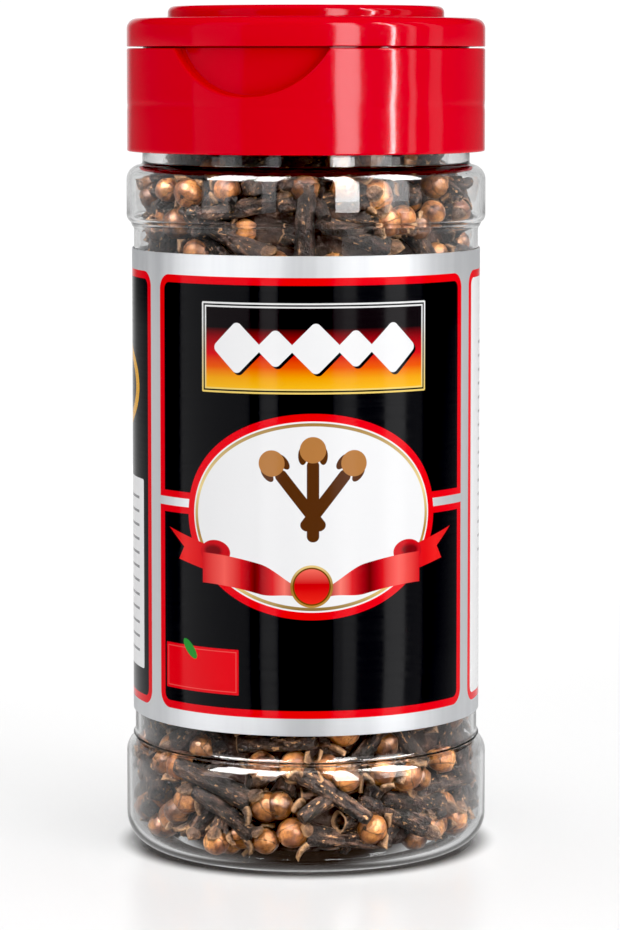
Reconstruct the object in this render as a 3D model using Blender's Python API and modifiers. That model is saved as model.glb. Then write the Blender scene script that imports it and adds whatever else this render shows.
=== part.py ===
# Clear spice jar of whole cloves with a red screw cap, a flip lid and a printed wrap label.
# Blender units are metres, +Z is up, and the origin is the centre of the jar's foot.
# The front of the label faces -Y. Sizes below are written in millimetres times MM.

import math

import bmesh
import bpy
import numpy as np
from mathutils import Matrix, Vector

MM = 0.001
SEGMENTS = 36
SHARP_ANGLE = math.radians(35)

# Jar: a blow-moulded shell with a proud band near its foot and another under its neck
BAND_RADIUS = 22.8 * MM
BODY_RADIUS = 21.68 * MM
UPPER_BAND_RADIUS = 22.6 * MM
COLLAR_RADIUS = 20.6 * MM
NECK_RADIUS = 19.35 * MM
MOUTH_RADIUS = 18.0 * MM
WALL = 0.8 * MM
BASE_THICKNESS = 1.3 * MM
PUSH_UP = 1.6 * MM
PUSH_UP_RADIUS = 14.0 * MM
FOOT_INNER_RADIUS = 17.4 * MM
FOOT_OUTER_RADIUS = 19.0 * MM
FOOT_CORNER = 3.8 * MM
BAND_TOP = 12.75 * MM
BAND_SHOULDER = 1.1 * MM
BODY_BOTTOM = 14.75 * MM
BODY_TOP = 78.0 * MM
UPPER_BAND_BOTTOM = 79.8 * MM
UPPER_BAND_TOP = 84.15 * MM
SHOULDER_ROUND = 1.9 * MM
COLLAR_TOP = 88.2 * MM
MOUTH_TOP = 97.6 * MM

# Label: a sleeve of thin film round the body
LABEL_GAP = 0.1 * MM
LABEL_THICKNESS = 0.15 * MM
LABEL_BOTTOM = 17.25 * MM
LABEL_TOP = 75.6 * MM

# Cap: outer skirt, inner skirt round the neck, deck with a pour opening, collar inside the lid
CAP_RADIUS = 22.5 * MM
CAP_BOTTOM = 87.7 * MM
CAP_TOP = 100.56 * MM
CAP_EDGE = 0.15 * MM
OUTER_SKIRT_INNER = 21.5 * MM
SKIRT_GAP_TOP = 94.0 * MM
INNER_SKIRT_OUTER = 20.7 * MM
INNER_SKIRT_INNER = 19.7 * MM
INNER_SKIRT_BOTTOM = 88.7 * MM
DECK_BOTTOM = 98.0 * MM
DECK_TOP = 99.4 * MM
LID_SEAT_OUTER = 20.5 * MM
LID_SEAT_INNER = 19.4 * MM
LID_SEAT_TOP = 101.6 * MM
OPENING_RADIUS = 15.5 * MM
OPENING_EDGE_Y = -2.0 * MM
CAP_TURN = math.radians(-22)

# Thumb notch: a half-moon recess in the front of the cap, under the lip of the lid
NOTCH_CIRCLE = 12.1 * MM
NOTCH_BOTTOM = 94.7 * MM
NOTCH_FLOOR_RADIUS = 20.95 * MM

# Lid: a shallow cover with a raised round panel and a rib that plugs the pour opening
LID_GAP = 0.2 * MM
LID_TOP = 104.3 * MM
LID_ROUND = 1.3 * MM
LID_WALL = 1.2 * MM
PANEL_RADIUS = 17.35 * MM
PANEL_TOP = 105.8 * MM
PANEL_ROUND = 0.8 * MM
PLUG_CLEARANCE = 0.4 * MM
PLUG_WALL = 0.9 * MM
PLUG_BOTTOM = 98.7 * MM

# Hinge: two leaves at the back that meet at the fold line of the moulded strap
HINGE_Y = 22.6 * MM
HINGE_HALF_WIDTH = 4.5 * MM
HINGE_LEAF_DEPTH = 1.6 * MM
HINGE_LEAF_HEIGHT = 1.5 * MM

# Cloves: stem, four calyx lobes and a round bud, and how the heap fills the jar
STEM_LENGTH = 9.6 * MM
STEM_END_RADIUS = 1.25 * MM
STEM_TOP_RADIUS = 1.7 * MM
CALYX_HEIGHT = 10.3 * MM
LOBE_RADIUS = 2.75 * MM
NECK_OF_BUD = 1.75 * MM
BUD_RADIUS = 2.0 * MM
BUD_CENTRE = 11.6 * MM
CLOVE_LENGTH = 13.6 * MM
WALL_CLEARANCE = 0.4 * MM
HEAP_FLOOR = PUSH_UP + BASE_THICKNESS + WALL_CLEARANCE
CORE_RADIUS = 19.3 * MM
HIDDEN_CORE_RADIUS = 20.4 * MM
CORE_NECK_RADIUS = 16.3 * MM
CORE_TOP = 88.0 * MM
SHOWN_DEPTH = 1.8 * MM
SHOWN_SHARE = 0.34
ZONES = (
    {"seed": 13, "count": 80, "low": 2.4 * MM, "high": 20.5 * MM, "hollow": 15.6 * MM, "hollow_top": 30 * MM},
    {"seed": 25, "count": 90, "low": 72.5 * MM, "high": 90.8 * MM, "hollow": 15.6 * MM, "hollow_top": 83 * MM},
)


def clear_scene():
    for obj in list(bpy.data.objects):
        bpy.data.objects.remove(obj)


def new_collection(name):
    collection = bpy.data.collections.new(name)
    bpy.context.scene.collection.children.link(collection)
    return collection


def new_material(name, colour, roughness, metallic=0.0, transmission=0.0):
    material = bpy.data.materials.new(name)
    material.use_nodes = True
    shader = material.node_tree.nodes["Principled BSDF"]
    shader.inputs["Base Color"].default_value = (*colour, 1.0)
    shader.inputs["Roughness"].default_value = roughness
    shader.inputs["Metallic"].default_value = metallic
    shader.inputs["Transmission Weight"].default_value = transmission
    return material


def add_object(name, mesh, collection, material=None):
    obj = bpy.data.objects.new(name, mesh)
    collection.objects.link(obj)
    if material:
        mesh.materials.append(material)
    return obj


def as_helper(obj):
    obj.hide_render = True
    obj.display_type = "WIRE"
    return obj


def arc(centre_r, centre_z, radius, start, end, steps):
    """Points (r, z) of a circle arc in the turning plane, angles in degrees from +r towards +z."""
    angles = [math.radians(start + (end - start) * i / steps) for i in range(steps + 1)]
    return [(centre_r + radius * math.cos(a), centre_z + radius * math.sin(a)) for a in angles]


def turned(name, profile, collection, material=None, segments=SEGMENTS, ring=False):
    """A body of revolution whose profile runs down its outer side; a ring's profile closes on itself."""
    mesh = bpy.data.meshes.new(name)
    points = [(r, 0.0, z) for r, z in profile]
    edges = [(i, i + 1) for i in range(len(points) - 1)]
    if ring:
        edges.append((len(points) - 1, 0))
    mesh.from_pydata(points, edges, [])
    obj = add_object(name, mesh, collection, material)
    screw = obj.modifiers.new("Turn", "SCREW")
    screw.axis = "Z"
    screw.steps = screw.render_steps = segments
    screw.use_merge_vertices = True
    screw.merge_threshold = 1e-6
    return obj


def boolean(obj, operation, tool):
    modifier = obj.modifiers.new(operation.title(), "BOOLEAN")
    modifier.operation = operation
    modifier.object = tool
    return modifier


def settle(obj):
    """Replaces the object's mesh by its evaluated one and shades it smooth, with sharp edges kept."""
    graph = bpy.context.evaluated_depsgraph_get()
    mesh = bpy.data.meshes.new_from_object(obj.evaluated_get(graph), depsgraph=graph)
    obj.modifiers.clear()
    old = obj.data
    obj.data = mesh
    mesh.name = old.name
    mesh.shade_smooth()
    mesh.set_sharp_from_angle(angle=SHARP_ANGLE)
    return obj


def box(name, low, high, collection):
    bm = bmesh.new()
    bmesh.ops.create_cube(bm, size=1.0)
    size = Vector(high) - Vector(low)
    middle = (Vector(high) + Vector(low)) / 2
    bm.transform(Matrix.Translation(middle) @ Matrix.Diagonal((*size, 1.0)))
    mesh = bpy.data.meshes.new(name)
    bm.to_mesh(mesh)
    bm.free()
    return as_helper(add_object(name, mesh, collection))


def half_disc(name, radius, edge_y, bottom, top, collection, steps=14):
    """A D-shaped prism: the part of a round bar with y below edge_y, as a filled flat curve with depth."""
    reach = math.acos(-edge_y / radius)
    turns = [-math.pi / 2 - reach + 2 * reach * i / steps for i in range(steps + 1)]
    curve = bpy.data.curves.new(name, "CURVE")
    curve.dimensions = "2D"
    curve.fill_mode = "BOTH"
    curve.extrude = (top - bottom) / 2
    spline = curve.splines.new("POLY")
    spline.points.add(len(turns) - 1)
    for point, turn in zip(spline.points, turns):
        point.co = (radius * math.cos(turn), radius * math.sin(turn), 0.0, 1.0)
    spline.use_cyclic_u = True
    drawn = bpy.data.objects.new(name, curve)
    drawn.location.z = (top + bottom) / 2
    collection.objects.link(drawn)
    bpy.context.view_layer.update()
    graph = bpy.context.evaluated_depsgraph_get()
    mesh = bpy.data.meshes.new_from_object(drawn.evaluated_get(graph), depsgraph=graph)
    mesh.transform(drawn.matrix_world)
    bpy.data.objects.remove(drawn)
    bm = bmesh.new()
    bm.from_mesh(mesh)
    bmesh.ops.remove_doubles(bm, verts=bm.verts, dist=1e-6)
    bmesh.ops.recalc_face_normals(bm, faces=bm.faces)
    bm.to_mesh(mesh)
    bm.free()
    return as_helper(add_object(name, mesh, collection))


def jar_outside():
    """Outer line of the jar from the mouth's rim down to the middle of its underside."""
    band_turn = BAND_RADIUS - BAND_SHOULDER
    upper_turn = UPPER_BAND_RADIUS - BAND_SHOULDER
    line = [(MOUTH_RADIUS, MOUTH_TOP), (NECK_RADIUS, MOUTH_TOP), (NECK_RADIUS, COLLAR_TOP)]
    line += [(COLLAR_RADIUS, COLLAR_TOP - 0.3 * MM), (COLLAR_RADIUS, UPPER_BAND_TOP + SHOULDER_ROUND)]
    line += arc(UPPER_BAND_RADIUS - SHOULDER_ROUND, UPPER_BAND_TOP, SHOULDER_ROUND, 80, 0, 3)
    line += arc(upper_turn, UPPER_BAND_BOTTOM, BAND_SHOULDER, 0, -62, 2)
    line += [(BODY_RADIUS, BODY_TOP), (BODY_RADIUS, BODY_BOTTOM)]
    line += arc(band_turn, BAND_TOP, BAND_SHOULDER, 62, 0, 2)
    line += arc(FOOT_OUTER_RADIUS, FOOT_CORNER, FOOT_CORNER, 0, -90, 4)
    line += [(FOOT_INNER_RADIUS, 0.0), (PUSH_UP_RADIUS, PUSH_UP), (0.0, PUSH_UP)]
    return line


def jar_inside():
    """Inner line of the jar from the middle of its floor up to the neck."""
    floor = PUSH_UP + BASE_THICKNESS
    corner = FOOT_CORNER - WALL
    line = [(0.0, floor), (PUSH_UP_RADIUS, floor), (FOOT_INNER_RADIUS + 0.4 * MM, BASE_THICKNESS)]
    line += arc(FOOT_OUTER_RADIUS, BASE_THICKNESS + corner, corner, -70, 0, 2)
    line += [(BAND_RADIUS - WALL, BAND_TOP)]
    line += [(BODY_RADIUS - WALL, BODY_BOTTOM + 0.1 * MM), (BODY_RADIUS - WALL, BODY_TOP - 0.1 * MM)]
    line += [(UPPER_BAND_RADIUS - WALL, UPPER_BAND_BOTTOM)]
    line += arc(UPPER_BAND_RADIUS - SHOULDER_ROUND, UPPER_BAND_TOP, SHOULDER_ROUND - WALL, 0, 90, 1)
    line += [(MOUTH_RADIUS, COLLAR_TOP - 0.8 * MM)]
    return line


def make_jar(parts):
    plastic = new_material("clear_jar_plastic", (0.96, 0.97, 0.97), 0.04, transmission=1.0)
    return settle(turned("jar", jar_inside() + jar_outside(), parts, plastic))


def make_label(parts):
    film = new_material("label_film", (0.62, 0.63, 0.65), 0.32, metallic=0.55)
    inner = BODY_RADIUS + LABEL_GAP
    outer = inner + LABEL_THICKNESS
    profile = [(inner, LABEL_BOTTOM), (inner, LABEL_TOP), (outer, LABEL_TOP), (outer, LABEL_BOTTOM)]
    return settle(turned("label", profile, parts, film, ring=True))


def notch_cutter(cutters):
    """A round bar across the front of the cap, less the round floor that the recess leaves."""
    bm = bmesh.new()
    reach = BAND_RADIUS
    bmesh.ops.create_cone(
        bm, cap_ends=True, segments=44, radius1=NOTCH_CIRCLE, radius2=NOTCH_CIRCLE, depth=reach
    )
    lift = Matrix.Translation((0.0, -reach * 0.8, NOTCH_BOTTOM + NOTCH_CIRCLE))
    bm.transform(lift @ Matrix.Rotation(math.pi / 2, 4, "X"))
    mesh = bpy.data.meshes.new("notch")
    bm.to_mesh(mesh)
    bm.free()
    cutter = as_helper(add_object("notch", mesh, cutters))
    low, high = NOTCH_BOTTOM - 2 * MM, NOTCH_BOTTOM + 3 * NOTCH_CIRCLE
    floor = [(0.0, high), (NOTCH_FLOOR_RADIUS, high), (NOTCH_FLOOR_RADIUS, low), (0.0, low)]
    core = as_helper(turned("notch_floor", floor, cutters))
    boolean(cutter, "DIFFERENCE", core)
    return settle(cutter)


def make_cap(parts, cutters, carrier):
    profile = [(0.0, DECK_TOP), (LID_SEAT_INNER, DECK_TOP), (LID_SEAT_INNER, LID_SEAT_TOP)]
    profile += [(LID_SEAT_OUTER, LID_SEAT_TOP), (LID_SEAT_OUTER, CAP_TOP), (CAP_RADIUS - CAP_EDGE, CAP_TOP)]
    profile += [(CAP_RADIUS, CAP_TOP - CAP_EDGE), (CAP_RADIUS, CAP_BOTTOM + CAP_EDGE)]
    profile += [(CAP_RADIUS - CAP_EDGE, CAP_BOTTOM), (OUTER_SKIRT_INNER, CAP_BOTTOM)]
    profile += [(OUTER_SKIRT_INNER, SKIRT_GAP_TOP), (INNER_SKIRT_OUTER, SKIRT_GAP_TOP)]
    profile += [(INNER_SKIRT_OUTER, INNER_SKIRT_BOTTOM), (INNER_SKIRT_INNER, INNER_SKIRT_BOTTOM)]
    profile += [(INNER_SKIRT_INNER, DECK_BOTTOM), (0.0, DECK_BOTTOM)]
    red = new_material("red_cap_plastic", (0.72, 0.004, 0.012), 0.16)
    cap = turned("cap", profile, parts, red)
    through = 1.0 * MM
    opening = half_disc(
        "pour_opening", OPENING_RADIUS, OPENING_EDGE_Y, DECK_BOTTOM - through, DECK_TOP + through, cutters
    )
    leaf = box(
        "cap_hinge_leaf",
        (-HINGE_HALF_WIDTH, HINGE_Y - HINGE_LEAF_DEPTH, CAP_TOP - HINGE_LEAF_HEIGHT),
        (HINGE_HALF_WIDTH, HINGE_Y, CAP_TOP - 0.001 * MM),
        cutters,
    )
    boolean(cap, "UNION", leaf)
    boolean(cap, "DIFFERENCE", opening)
    boolean(cap, "DIFFERENCE", notch_cutter(cutters))
    settle(cap)
    cap.parent = carrier
    return cap


def make_lid(parts, cutters, carrier):
    bottom = CAP_TOP + LID_GAP
    underside = LID_TOP - LID_WALL
    panel_underside = PANEL_TOP - LID_WALL
    panel_inner = PANEL_RADIUS - LID_WALL
    profile = [(0.0, PANEL_TOP)]
    profile += arc(PANEL_RADIUS - PANEL_ROUND, PANEL_TOP - PANEL_ROUND, PANEL_ROUND, 90, 0, 3)
    profile += [(PANEL_RADIUS, LID_TOP)]
    profile += arc(CAP_RADIUS - LID_ROUND, LID_TOP - LID_ROUND, LID_ROUND, 90, 0, 4)
    profile += [(CAP_RADIUS, bottom), (CAP_RADIUS - LID_WALL, bottom), (CAP_RADIUS - LID_WALL, underside)]
    profile += [(panel_inner, underside), (panel_inner, panel_underside), (0.0, panel_underside)]
    red = new_material("red_lid_plastic", (0.72, 0.004, 0.012), 0.14)
    lid = turned("flip_lid", profile, parts, red)
    outer = OPENING_RADIUS - PLUG_CLEARANCE
    edge = OPENING_EDGE_Y - PLUG_CLEARANCE
    sunk = 0.4 * MM
    plug = half_disc("plug", outer, edge, PLUG_BOTTOM, panel_underside + sunk, cutters)
    hollow = half_disc(
        "plug_hollow", outer - PLUG_WALL, edge - PLUG_WALL, PLUG_BOTTOM - sunk, panel_underside, cutters
    )
    leaf = box(
        "lid_hinge_leaf",
        (-HINGE_HALF_WIDTH, HINGE_Y - HINGE_LEAF_DEPTH, bottom + 0.001 * MM),
        (HINGE_HALF_WIDTH, HINGE_Y, bottom + HINGE_LEAF_HEIGHT),
        cutters,
    )
    boolean(lid, "UNION", plug)
    boolean(lid, "DIFFERENCE", hollow)
    boolean(lid, "UNION", leaf)
    settle(lid)
    hinge_height = CAP_TOP + LID_GAP / 2
    lid.data.transform(Matrix.Translation((0.0, -HINGE_Y, -hinge_height)))
    lid.location = (0.0, HINGE_Y, hinge_height)
    lid.parent = carrier
    return lid


def push_off_wall(points, radius):
    """Moves that bring balls of the given radius clear of the jar's floor, walls and shoulders."""
    line = np.array([*jar_inside(), (MOUTH_RADIUS, MOUTH_TOP)])
    start, along = line[:-1], np.diff(line, axis=0)
    length = np.linalg.norm(along, axis=1)
    inward = np.stack([-along[:, 1], along[:, 0]], axis=1) / length[:, None]
    span = np.hypot(points[:, 0], points[:, 1]) + 1e-9
    flat = np.stack([span, points[:, 2]], axis=1)
    offset = flat[:, None, :] - start[None, :, :]
    part = np.clip((offset * along).sum(axis=2) / length**2, 0.0, 1.0)
    apart = offset - part[:, :, None] * along
    distance = np.linalg.norm(apart, axis=2)
    nearest = distance.argmin(axis=1)
    rows = np.arange(len(points))
    side = inward[nearest]
    depth = np.sign((offset[rows, nearest] * side).sum(axis=1)) * distance[rows, nearest]
    push = np.clip(radius + WALL_CLEARANCE - depth, 0.0, None)[:, None] * side
    return np.stack([push[:, 0] * points[:, 0] / span, push[:, 0] * points[:, 1] / span, push[:, 1]], axis=1)


def relax_cloves(seed, count, low, high, hollow, hollow_top, steps=300):
    """Cloves as rows of balls, thrown at random into a zone of the jar and pushed apart until they fit.

    They stay out of a round hollow up the middle. Returns each stem end, direction and size.
    """
    rng = np.random.default_rng(seed)
    along = np.array([1.3, 3.8, 6.3, 8.8, 11.4]) * MM
    thick = np.array([1.2, 1.3, 1.4, 1.6, 2.3]) * MM
    size = rng.uniform(0.9, 1.08, count)
    turn = rng.uniform(0.0, 2 * math.pi, count)
    height = rng.uniform(low, high, count)
    nearest = np.where(height < hollow_top, hollow + 1 * MM, 0.0)
    reach = np.sqrt(rng.uniform(nearest**2, (BODY_RADIUS - 3 * MM) ** 2))
    middle = np.stack([reach * np.cos(turn), reach * np.sin(turn), height], axis=1)
    axis = rng.normal(size=(count, 3)) * (1.0, 1.0, 0.8)
    axis /= np.linalg.norm(axis, axis=1, keepdims=True)
    offset = (along - along.mean())[None, :] * size[:, None]
    radius = (thick[None, :] * size[:, None]).reshape(-1)
    owner = np.repeat(np.arange(count), len(along))
    other = owner[:, None] != owner[None, :]
    touch = radius[:, None] + radius[None, :]
    for step in range(steps):
        balls = (middle[:, None, :] + axis[:, None, :] * offset[:, :, None]).reshape(-1, 3)
        apart = balls[:, None, :] - balls[None, :, :]
        distance = np.sqrt((apart**2).sum(axis=2)) + 1e-9
        push = np.where(other, np.clip(touch - distance, 0.0, None), 0.0) / distance
        balls = balls + 0.34 * (apart * push[:, :, None]).sum(axis=1)
        balls[:, 2] = np.clip(balls[:, 2], low, high - radius)
        span = np.hypot(balls[:, 0], balls[:, 1]) + 1e-9
        inner = np.where(balls[:, 2] < hollow_top, hollow + radius, 0.0)
        balls[:, :2] *= (np.maximum(span, inner) / span)[:, None]
        balls += push_off_wall(balls, radius)
        balls = balls.reshape(count, len(along), 3)
        middle = balls.mean(axis=1)
        axis = ((balls - middle[:, None, :]) * offset[:, :, None]).sum(axis=1)
        axis /= np.linalg.norm(axis, axis=1, keepdims=True)
        if step < steps * 0.7:
            outward = middle[:, :2] / np.linalg.norm(middle[:, :2], axis=1, keepdims=True)
            middle[:, :2] += np.where(middle[:, 2:] < hollow_top, 0.02 * MM, 0.0) * outward
            middle[:, 2] -= 0.012 * MM
    return middle - axis * (along.mean() * size)[:, None], axis, size


def clear_of_wall(corners):
    """The shift that brings a whole clove, given by its corners, clear of the jar."""
    shift = np.zeros(3)
    for _ in range(6):
        moves = push_off_wall(corners + shift, 0.0)
        shift += moves[np.linalg.norm(moves, axis=1).argmax()]
    return shift


def bridge(bm, lower, upper):
    """Joins two rings of vertices, the upper with as many, or with twice or half as many, as a loft."""
    if len(lower) == len(upper):
        for i in range(len(lower)):
            after = (i + 1) % len(lower)
            bm.faces.new((lower[i], lower[after], upper[after], upper[i]))
        return
    coarse, fine, flip = (lower, upper, False) if len(lower) < len(upper) else (upper, lower, True)
    for i in range(len(coarse)):
        after = (i + 1) % len(coarse)
        before, middle, beyond = fine[2 * i], fine[2 * i + 1], fine[(2 * i + 2) % len(fine)]
        for corners in (
            (coarse[i], coarse[after], middle),
            (coarse[i], middle, before),
            (coarse[after], beyond, middle),
        ):
            bm.faces.new(tuple(reversed(corners)) if flip else corners)


def clove_mesh():
    """A plain clove: a square stem, a ring with four lobes and a faceted bud."""
    bm = bmesh.new()
    rings = []
    for height, sides, lobe, gap in (
        (0.0, 4, STEM_END_RADIUS, 0.0),
        (STEM_LENGTH, 4, STEM_TOP_RADIUS, 0.0),
        (CALYX_HEIGHT, 8, LOBE_RADIUS, NECK_OF_BUD),
        (BUD_CENTRE, 8, BUD_RADIUS, BUD_RADIUS),
        (CLOVE_LENGTH, 4, 0.5 * BUD_RADIUS, 0.0),
    ):
        ring = []
        for side in range(sides):
            turn = 2 * math.pi * side / sides
            radius = gap if sides == 8 and side % 2 else lobe
            ring.append(bm.verts.new((radius * math.cos(turn), radius * math.sin(turn), height)))
        rings.append(ring)
    for lower, upper in zip(rings, rings[1:]):
        bridge(bm, lower, upper)
    bm.faces.new(list(reversed(rings[0])))
    bm.faces.new(rings[-1])
    bmesh.ops.triangulate(bm, faces=bm.faces)
    mesh = bpy.data.meshes.new("clove")
    bm.to_mesh(mesh)
    bm.free()
    return mesh


def shows(corners):
    """True for a clove against the clear wall above or below the label, or on top, under the pour opening."""
    near = np.linalg.norm(push_off_wall(corners, SHOWN_DEPTH), axis=1) > 0
    clear = corners[:, 2] < LABEL_BOTTOM + 1 * MM
    clear |= (corners[:, 2] > LABEL_TOP - 1 * MM) & (corners[:, 2] < CAP_BOTTOM + 1 * MM)
    x, y, z = corners.mean(axis=0)
    return (near & clear).mean() > SHOWN_SHARE or (z > CORE_TOP and math.hypot(x, y) < OPENING_RADIUS)


def keep_outer_shell(mesh):
    """Leaves the largest closed shell of the mesh, without sealed hollows and loose scraps."""
    bm = bmesh.new()
    bm.from_mesh(mesh)
    bmesh.ops.remove_doubles(bm, verts=bm.verts, dist=1e-6)
    bmesh.ops.triangulate(bm, faces=bm.faces)
    left = set(bm.faces)
    shells = []
    while left:
        shell, edge = set(), [left.pop()]
        while edge:
            face = edge.pop()
            shell.add(face)
            near = {f for e in face.edges for f in e.link_faces} & left
            left -= near
            edge += near
        shells.append(shell)
    main = max(shells, key=len)
    bmesh.ops.delete(bm, geom=[f for s in shells if s is not main for f in s], context="FACES")
    bmesh.ops.delete(bm, geom=[v for v in bm.verts if not v.link_faces], context="VERTS")
    bm.to_mesh(mesh)
    bm.free()


def core_profile():
    """The heap's plain core: wide behind the label, narrow where whole cloves are fused on."""
    step_low, step_high = LABEL_BOTTOM + 2.5 * MM, LABEL_TOP - 2.5 * MM
    return [
        (0.0, CORE_TOP),
        (CORE_NECK_RADIUS, CORE_TOP),
        (CORE_NECK_RADIUS, COLLAR_TOP - 3.5 * MM),
        (CORE_RADIUS, COLLAR_TOP - 5.5 * MM),
        (CORE_RADIUS, step_high + 1.5 * MM),
        (HIDDEN_CORE_RADIUS, step_high),
        (HIDDEN_CORE_RADIUS, step_low),
        (CORE_RADIUS, step_low - 1.5 * MM),
        (CORE_RADIUS, HEAP_FLOOR + 1.5 * MM),
        (CORE_RADIUS - 2 * MM, HEAP_FLOOR),
        (0.0, HEAP_FLOOR),
    ]


def make_cloves(parts):
    brown = new_material("clove_brown", (0.12, 0.05, 0.025), 0.6)
    heap = turned("cloves", core_profile(), parts, brown, segments=24)
    pieces = new_collection("clove_pieces")
    shared = clove_mesh()
    outline = np.array([vertex.co[:] for vertex in shared.vertices])
    for zone in ZONES:
        for start, axis, size in zip(*relax_cloves(**zone)):
            turn = Vector(axis).to_track_quat("Z", "Y").to_matrix()
            corners = outline @ np.array(turn).T * size + start
            shift = clear_of_wall(corners)
            if shows(corners + shift):
                clove = bpy.data.objects.new("clove", shared)
                place = Matrix.Translation(start + shift) @ turn.to_4x4() @ Matrix.Scale(size, 4)
                clove.matrix_world = place
                pieces.objects.link(clove)
    union = heap.modifiers.new("Fuse", "BOOLEAN")
    union.operation = "UNION"
    union.operand_type = "COLLECTION"
    union.collection = pieces
    union.solver = "MANIFOLD"
    settle(heap)
    keep_outer_shell(heap.data)
    for clove in list(pieces.objects):
        bpy.data.objects.remove(clove)
    bpy.data.collections.remove(pieces)
    return heap


def main():
    clear_scene()
    parts = new_collection("clove_jar")
    cutters = new_collection("cutters")
    cap_carrier = bpy.data.objects.new("cap_carrier", None)
    cap_carrier.rotation_euler.z = CAP_TURN
    parts.objects.link(cap_carrier)
    make_jar(parts)
    make_label(parts)
    make_cap(parts, cutters, cap_carrier)
    make_lid(parts, cutters, cap_carrier)
    make_cloves(parts)


main()
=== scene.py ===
# Clear spice jar of whole cloves with a red flip-top cap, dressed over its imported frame.
# Metres, +Z up; the front of the label faces -Y.
import math
from types import SimpleNamespace

import bmesh
import bpy
import numpy as np
from mathutils import Matrix, Vector


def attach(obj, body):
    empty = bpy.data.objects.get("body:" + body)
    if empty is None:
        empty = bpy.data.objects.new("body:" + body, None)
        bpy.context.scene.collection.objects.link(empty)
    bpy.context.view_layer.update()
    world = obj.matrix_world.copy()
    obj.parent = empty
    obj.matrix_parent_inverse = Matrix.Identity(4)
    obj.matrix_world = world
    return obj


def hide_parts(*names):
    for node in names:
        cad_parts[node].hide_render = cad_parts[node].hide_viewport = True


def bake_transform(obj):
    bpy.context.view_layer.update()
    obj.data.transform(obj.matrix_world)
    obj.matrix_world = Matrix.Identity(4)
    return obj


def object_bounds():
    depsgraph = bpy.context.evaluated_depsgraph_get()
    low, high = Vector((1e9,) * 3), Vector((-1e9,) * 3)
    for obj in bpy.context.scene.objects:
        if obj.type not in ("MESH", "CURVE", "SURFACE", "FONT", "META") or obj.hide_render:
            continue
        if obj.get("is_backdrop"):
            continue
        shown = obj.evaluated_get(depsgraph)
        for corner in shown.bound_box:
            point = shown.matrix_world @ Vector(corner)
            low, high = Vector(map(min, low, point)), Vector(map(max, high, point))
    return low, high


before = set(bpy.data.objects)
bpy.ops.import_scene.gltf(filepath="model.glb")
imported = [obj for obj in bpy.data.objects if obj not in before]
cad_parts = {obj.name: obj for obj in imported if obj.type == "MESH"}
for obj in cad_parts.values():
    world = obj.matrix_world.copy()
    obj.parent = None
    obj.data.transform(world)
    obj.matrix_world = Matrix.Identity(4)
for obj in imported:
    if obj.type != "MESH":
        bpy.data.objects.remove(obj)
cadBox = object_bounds()
mm = 0.001
capTurn = math.radians(-22)


def metres(sizes):  # sizes are given in millimetres; whole numbers are counts and stay
    def scaled(value):
        if isinstance(value, tuple):
            return tuple(scaled(part) for part in value)
        return value if isinstance(value, int) else value * mm

    return SimpleNamespace(**{key: scaled(value) for key, value in sizes.items()})


# small helpers for node trees
class Field:  # a value in a node tree, on which plain arithmetic works
    def __init__(self, socket):
        self.socket = socket
        self.tree = socket.id_data

    def __rsub__(self, other):
        return calc("SUBTRACT", other, self)


operators = {"add": "ADD", "sub": "SUBTRACT", "mul": "MULTIPLY", "truediv": "DIVIDE", "abs": "ABSOLUTE"}
for word, operation in operators.items():
    setattr(Field, f"__{word}__", lambda *values, operation=operation: calc(operation, *values))


def feed(socket, value):
    if isinstance(value, Field):
        socket.id_data.links.new(value.socket, socket)
    else:
        socket.default_value = value


def feedAll(sockets, values):
    for key, value in values.items():
        feed(sockets[key], value)


def addNode(tree, kind, inputs, output=0, **settings):  # an output of a new node whose inputs are fed
    node = tree.nodes.new(kind)
    for key, value in settings.items():
        setattr(node, key, value)
    feedAll(node.inputs, inputs)
    return Field(node.outputs[output])


def calc(operation, *values, clamp=False):
    tree = next(value.tree for value in values if isinstance(value, Field))
    return addNode(tree, "ShaderNodeMath", dict(enumerate(values)), operation=operation, use_clamp=clamp)


def larger(a, b):
    return calc("MAXIMUM", a, b)


def vectorCalc(operation, values, output=0):
    inputs = dict(enumerate(values))
    return addNode(values[0].tree, "ShaderNodeVectorMath", inputs, output, operation=operation)


def split(place):
    first = addNode(place.tree, "ShaderNodeSeparateXYZ", {0: place})
    return [Field(socket) for socket in first.socket.node.outputs]


def blendColour(factor, first, second):
    colours = [(*value, 1.0) if isinstance(value, tuple) else value for value in (first, second)]
    inputs = {"Factor": factor, 6: colours[0], 7: colours[1]}
    return addNode(factor.tree, "ShaderNodeMix", inputs, 2, data_type="RGBA")


def blendValue(factor, first, second):
    return addNode(factor.tree, "ShaderNodeMix", {"Factor": factor, 2: first, 3: second})


def remap(value, low, high, newLow=0.0, newHigh=1.0, smooth=False):
    inputs = {"Value": value, "From Min": low, "From Max": high, "To Min": newLow, "To Max": newHigh}
    kind = "SMOOTHSTEP" if smooth else "LINEAR"
    return addNode(value.tree, "ShaderNodeMapRange", inputs, "Result", interpolation_type=kind)


def ramp(value, stops):  # each stop is a position and its colour
    colour = addNode(value.tree, "ShaderNodeValToRGB", {"Fac": value}, "Color")
    marks = colour.socket.node.color_ramp.elements
    while len(marks) < len(stops):
        marks.new(0.5)
    for mark, (position, *shade) in zip(marks, stops):
        mark.position = position
        mark.color = (*shade, 1.0)
    return colour


def noise(place, scale, detail=3.0, rough=0.5, stretch=None):
    if stretch:
        place = addNode(place.tree, "ShaderNodeMapping", {"Vector": place, "Scale": stretch})
    inputs = {"Scale": scale, "Detail": detail, "Roughness": rough, "Vector": place}
    return addNode(place.tree, "ShaderNodeTexNoise", inputs, "Fac")


def startMaterial(name):
    material = bpy.data.materials.new(name)
    material.use_nodes = True
    return material, material.node_tree.nodes["Principled BSDF"].inputs


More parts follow.
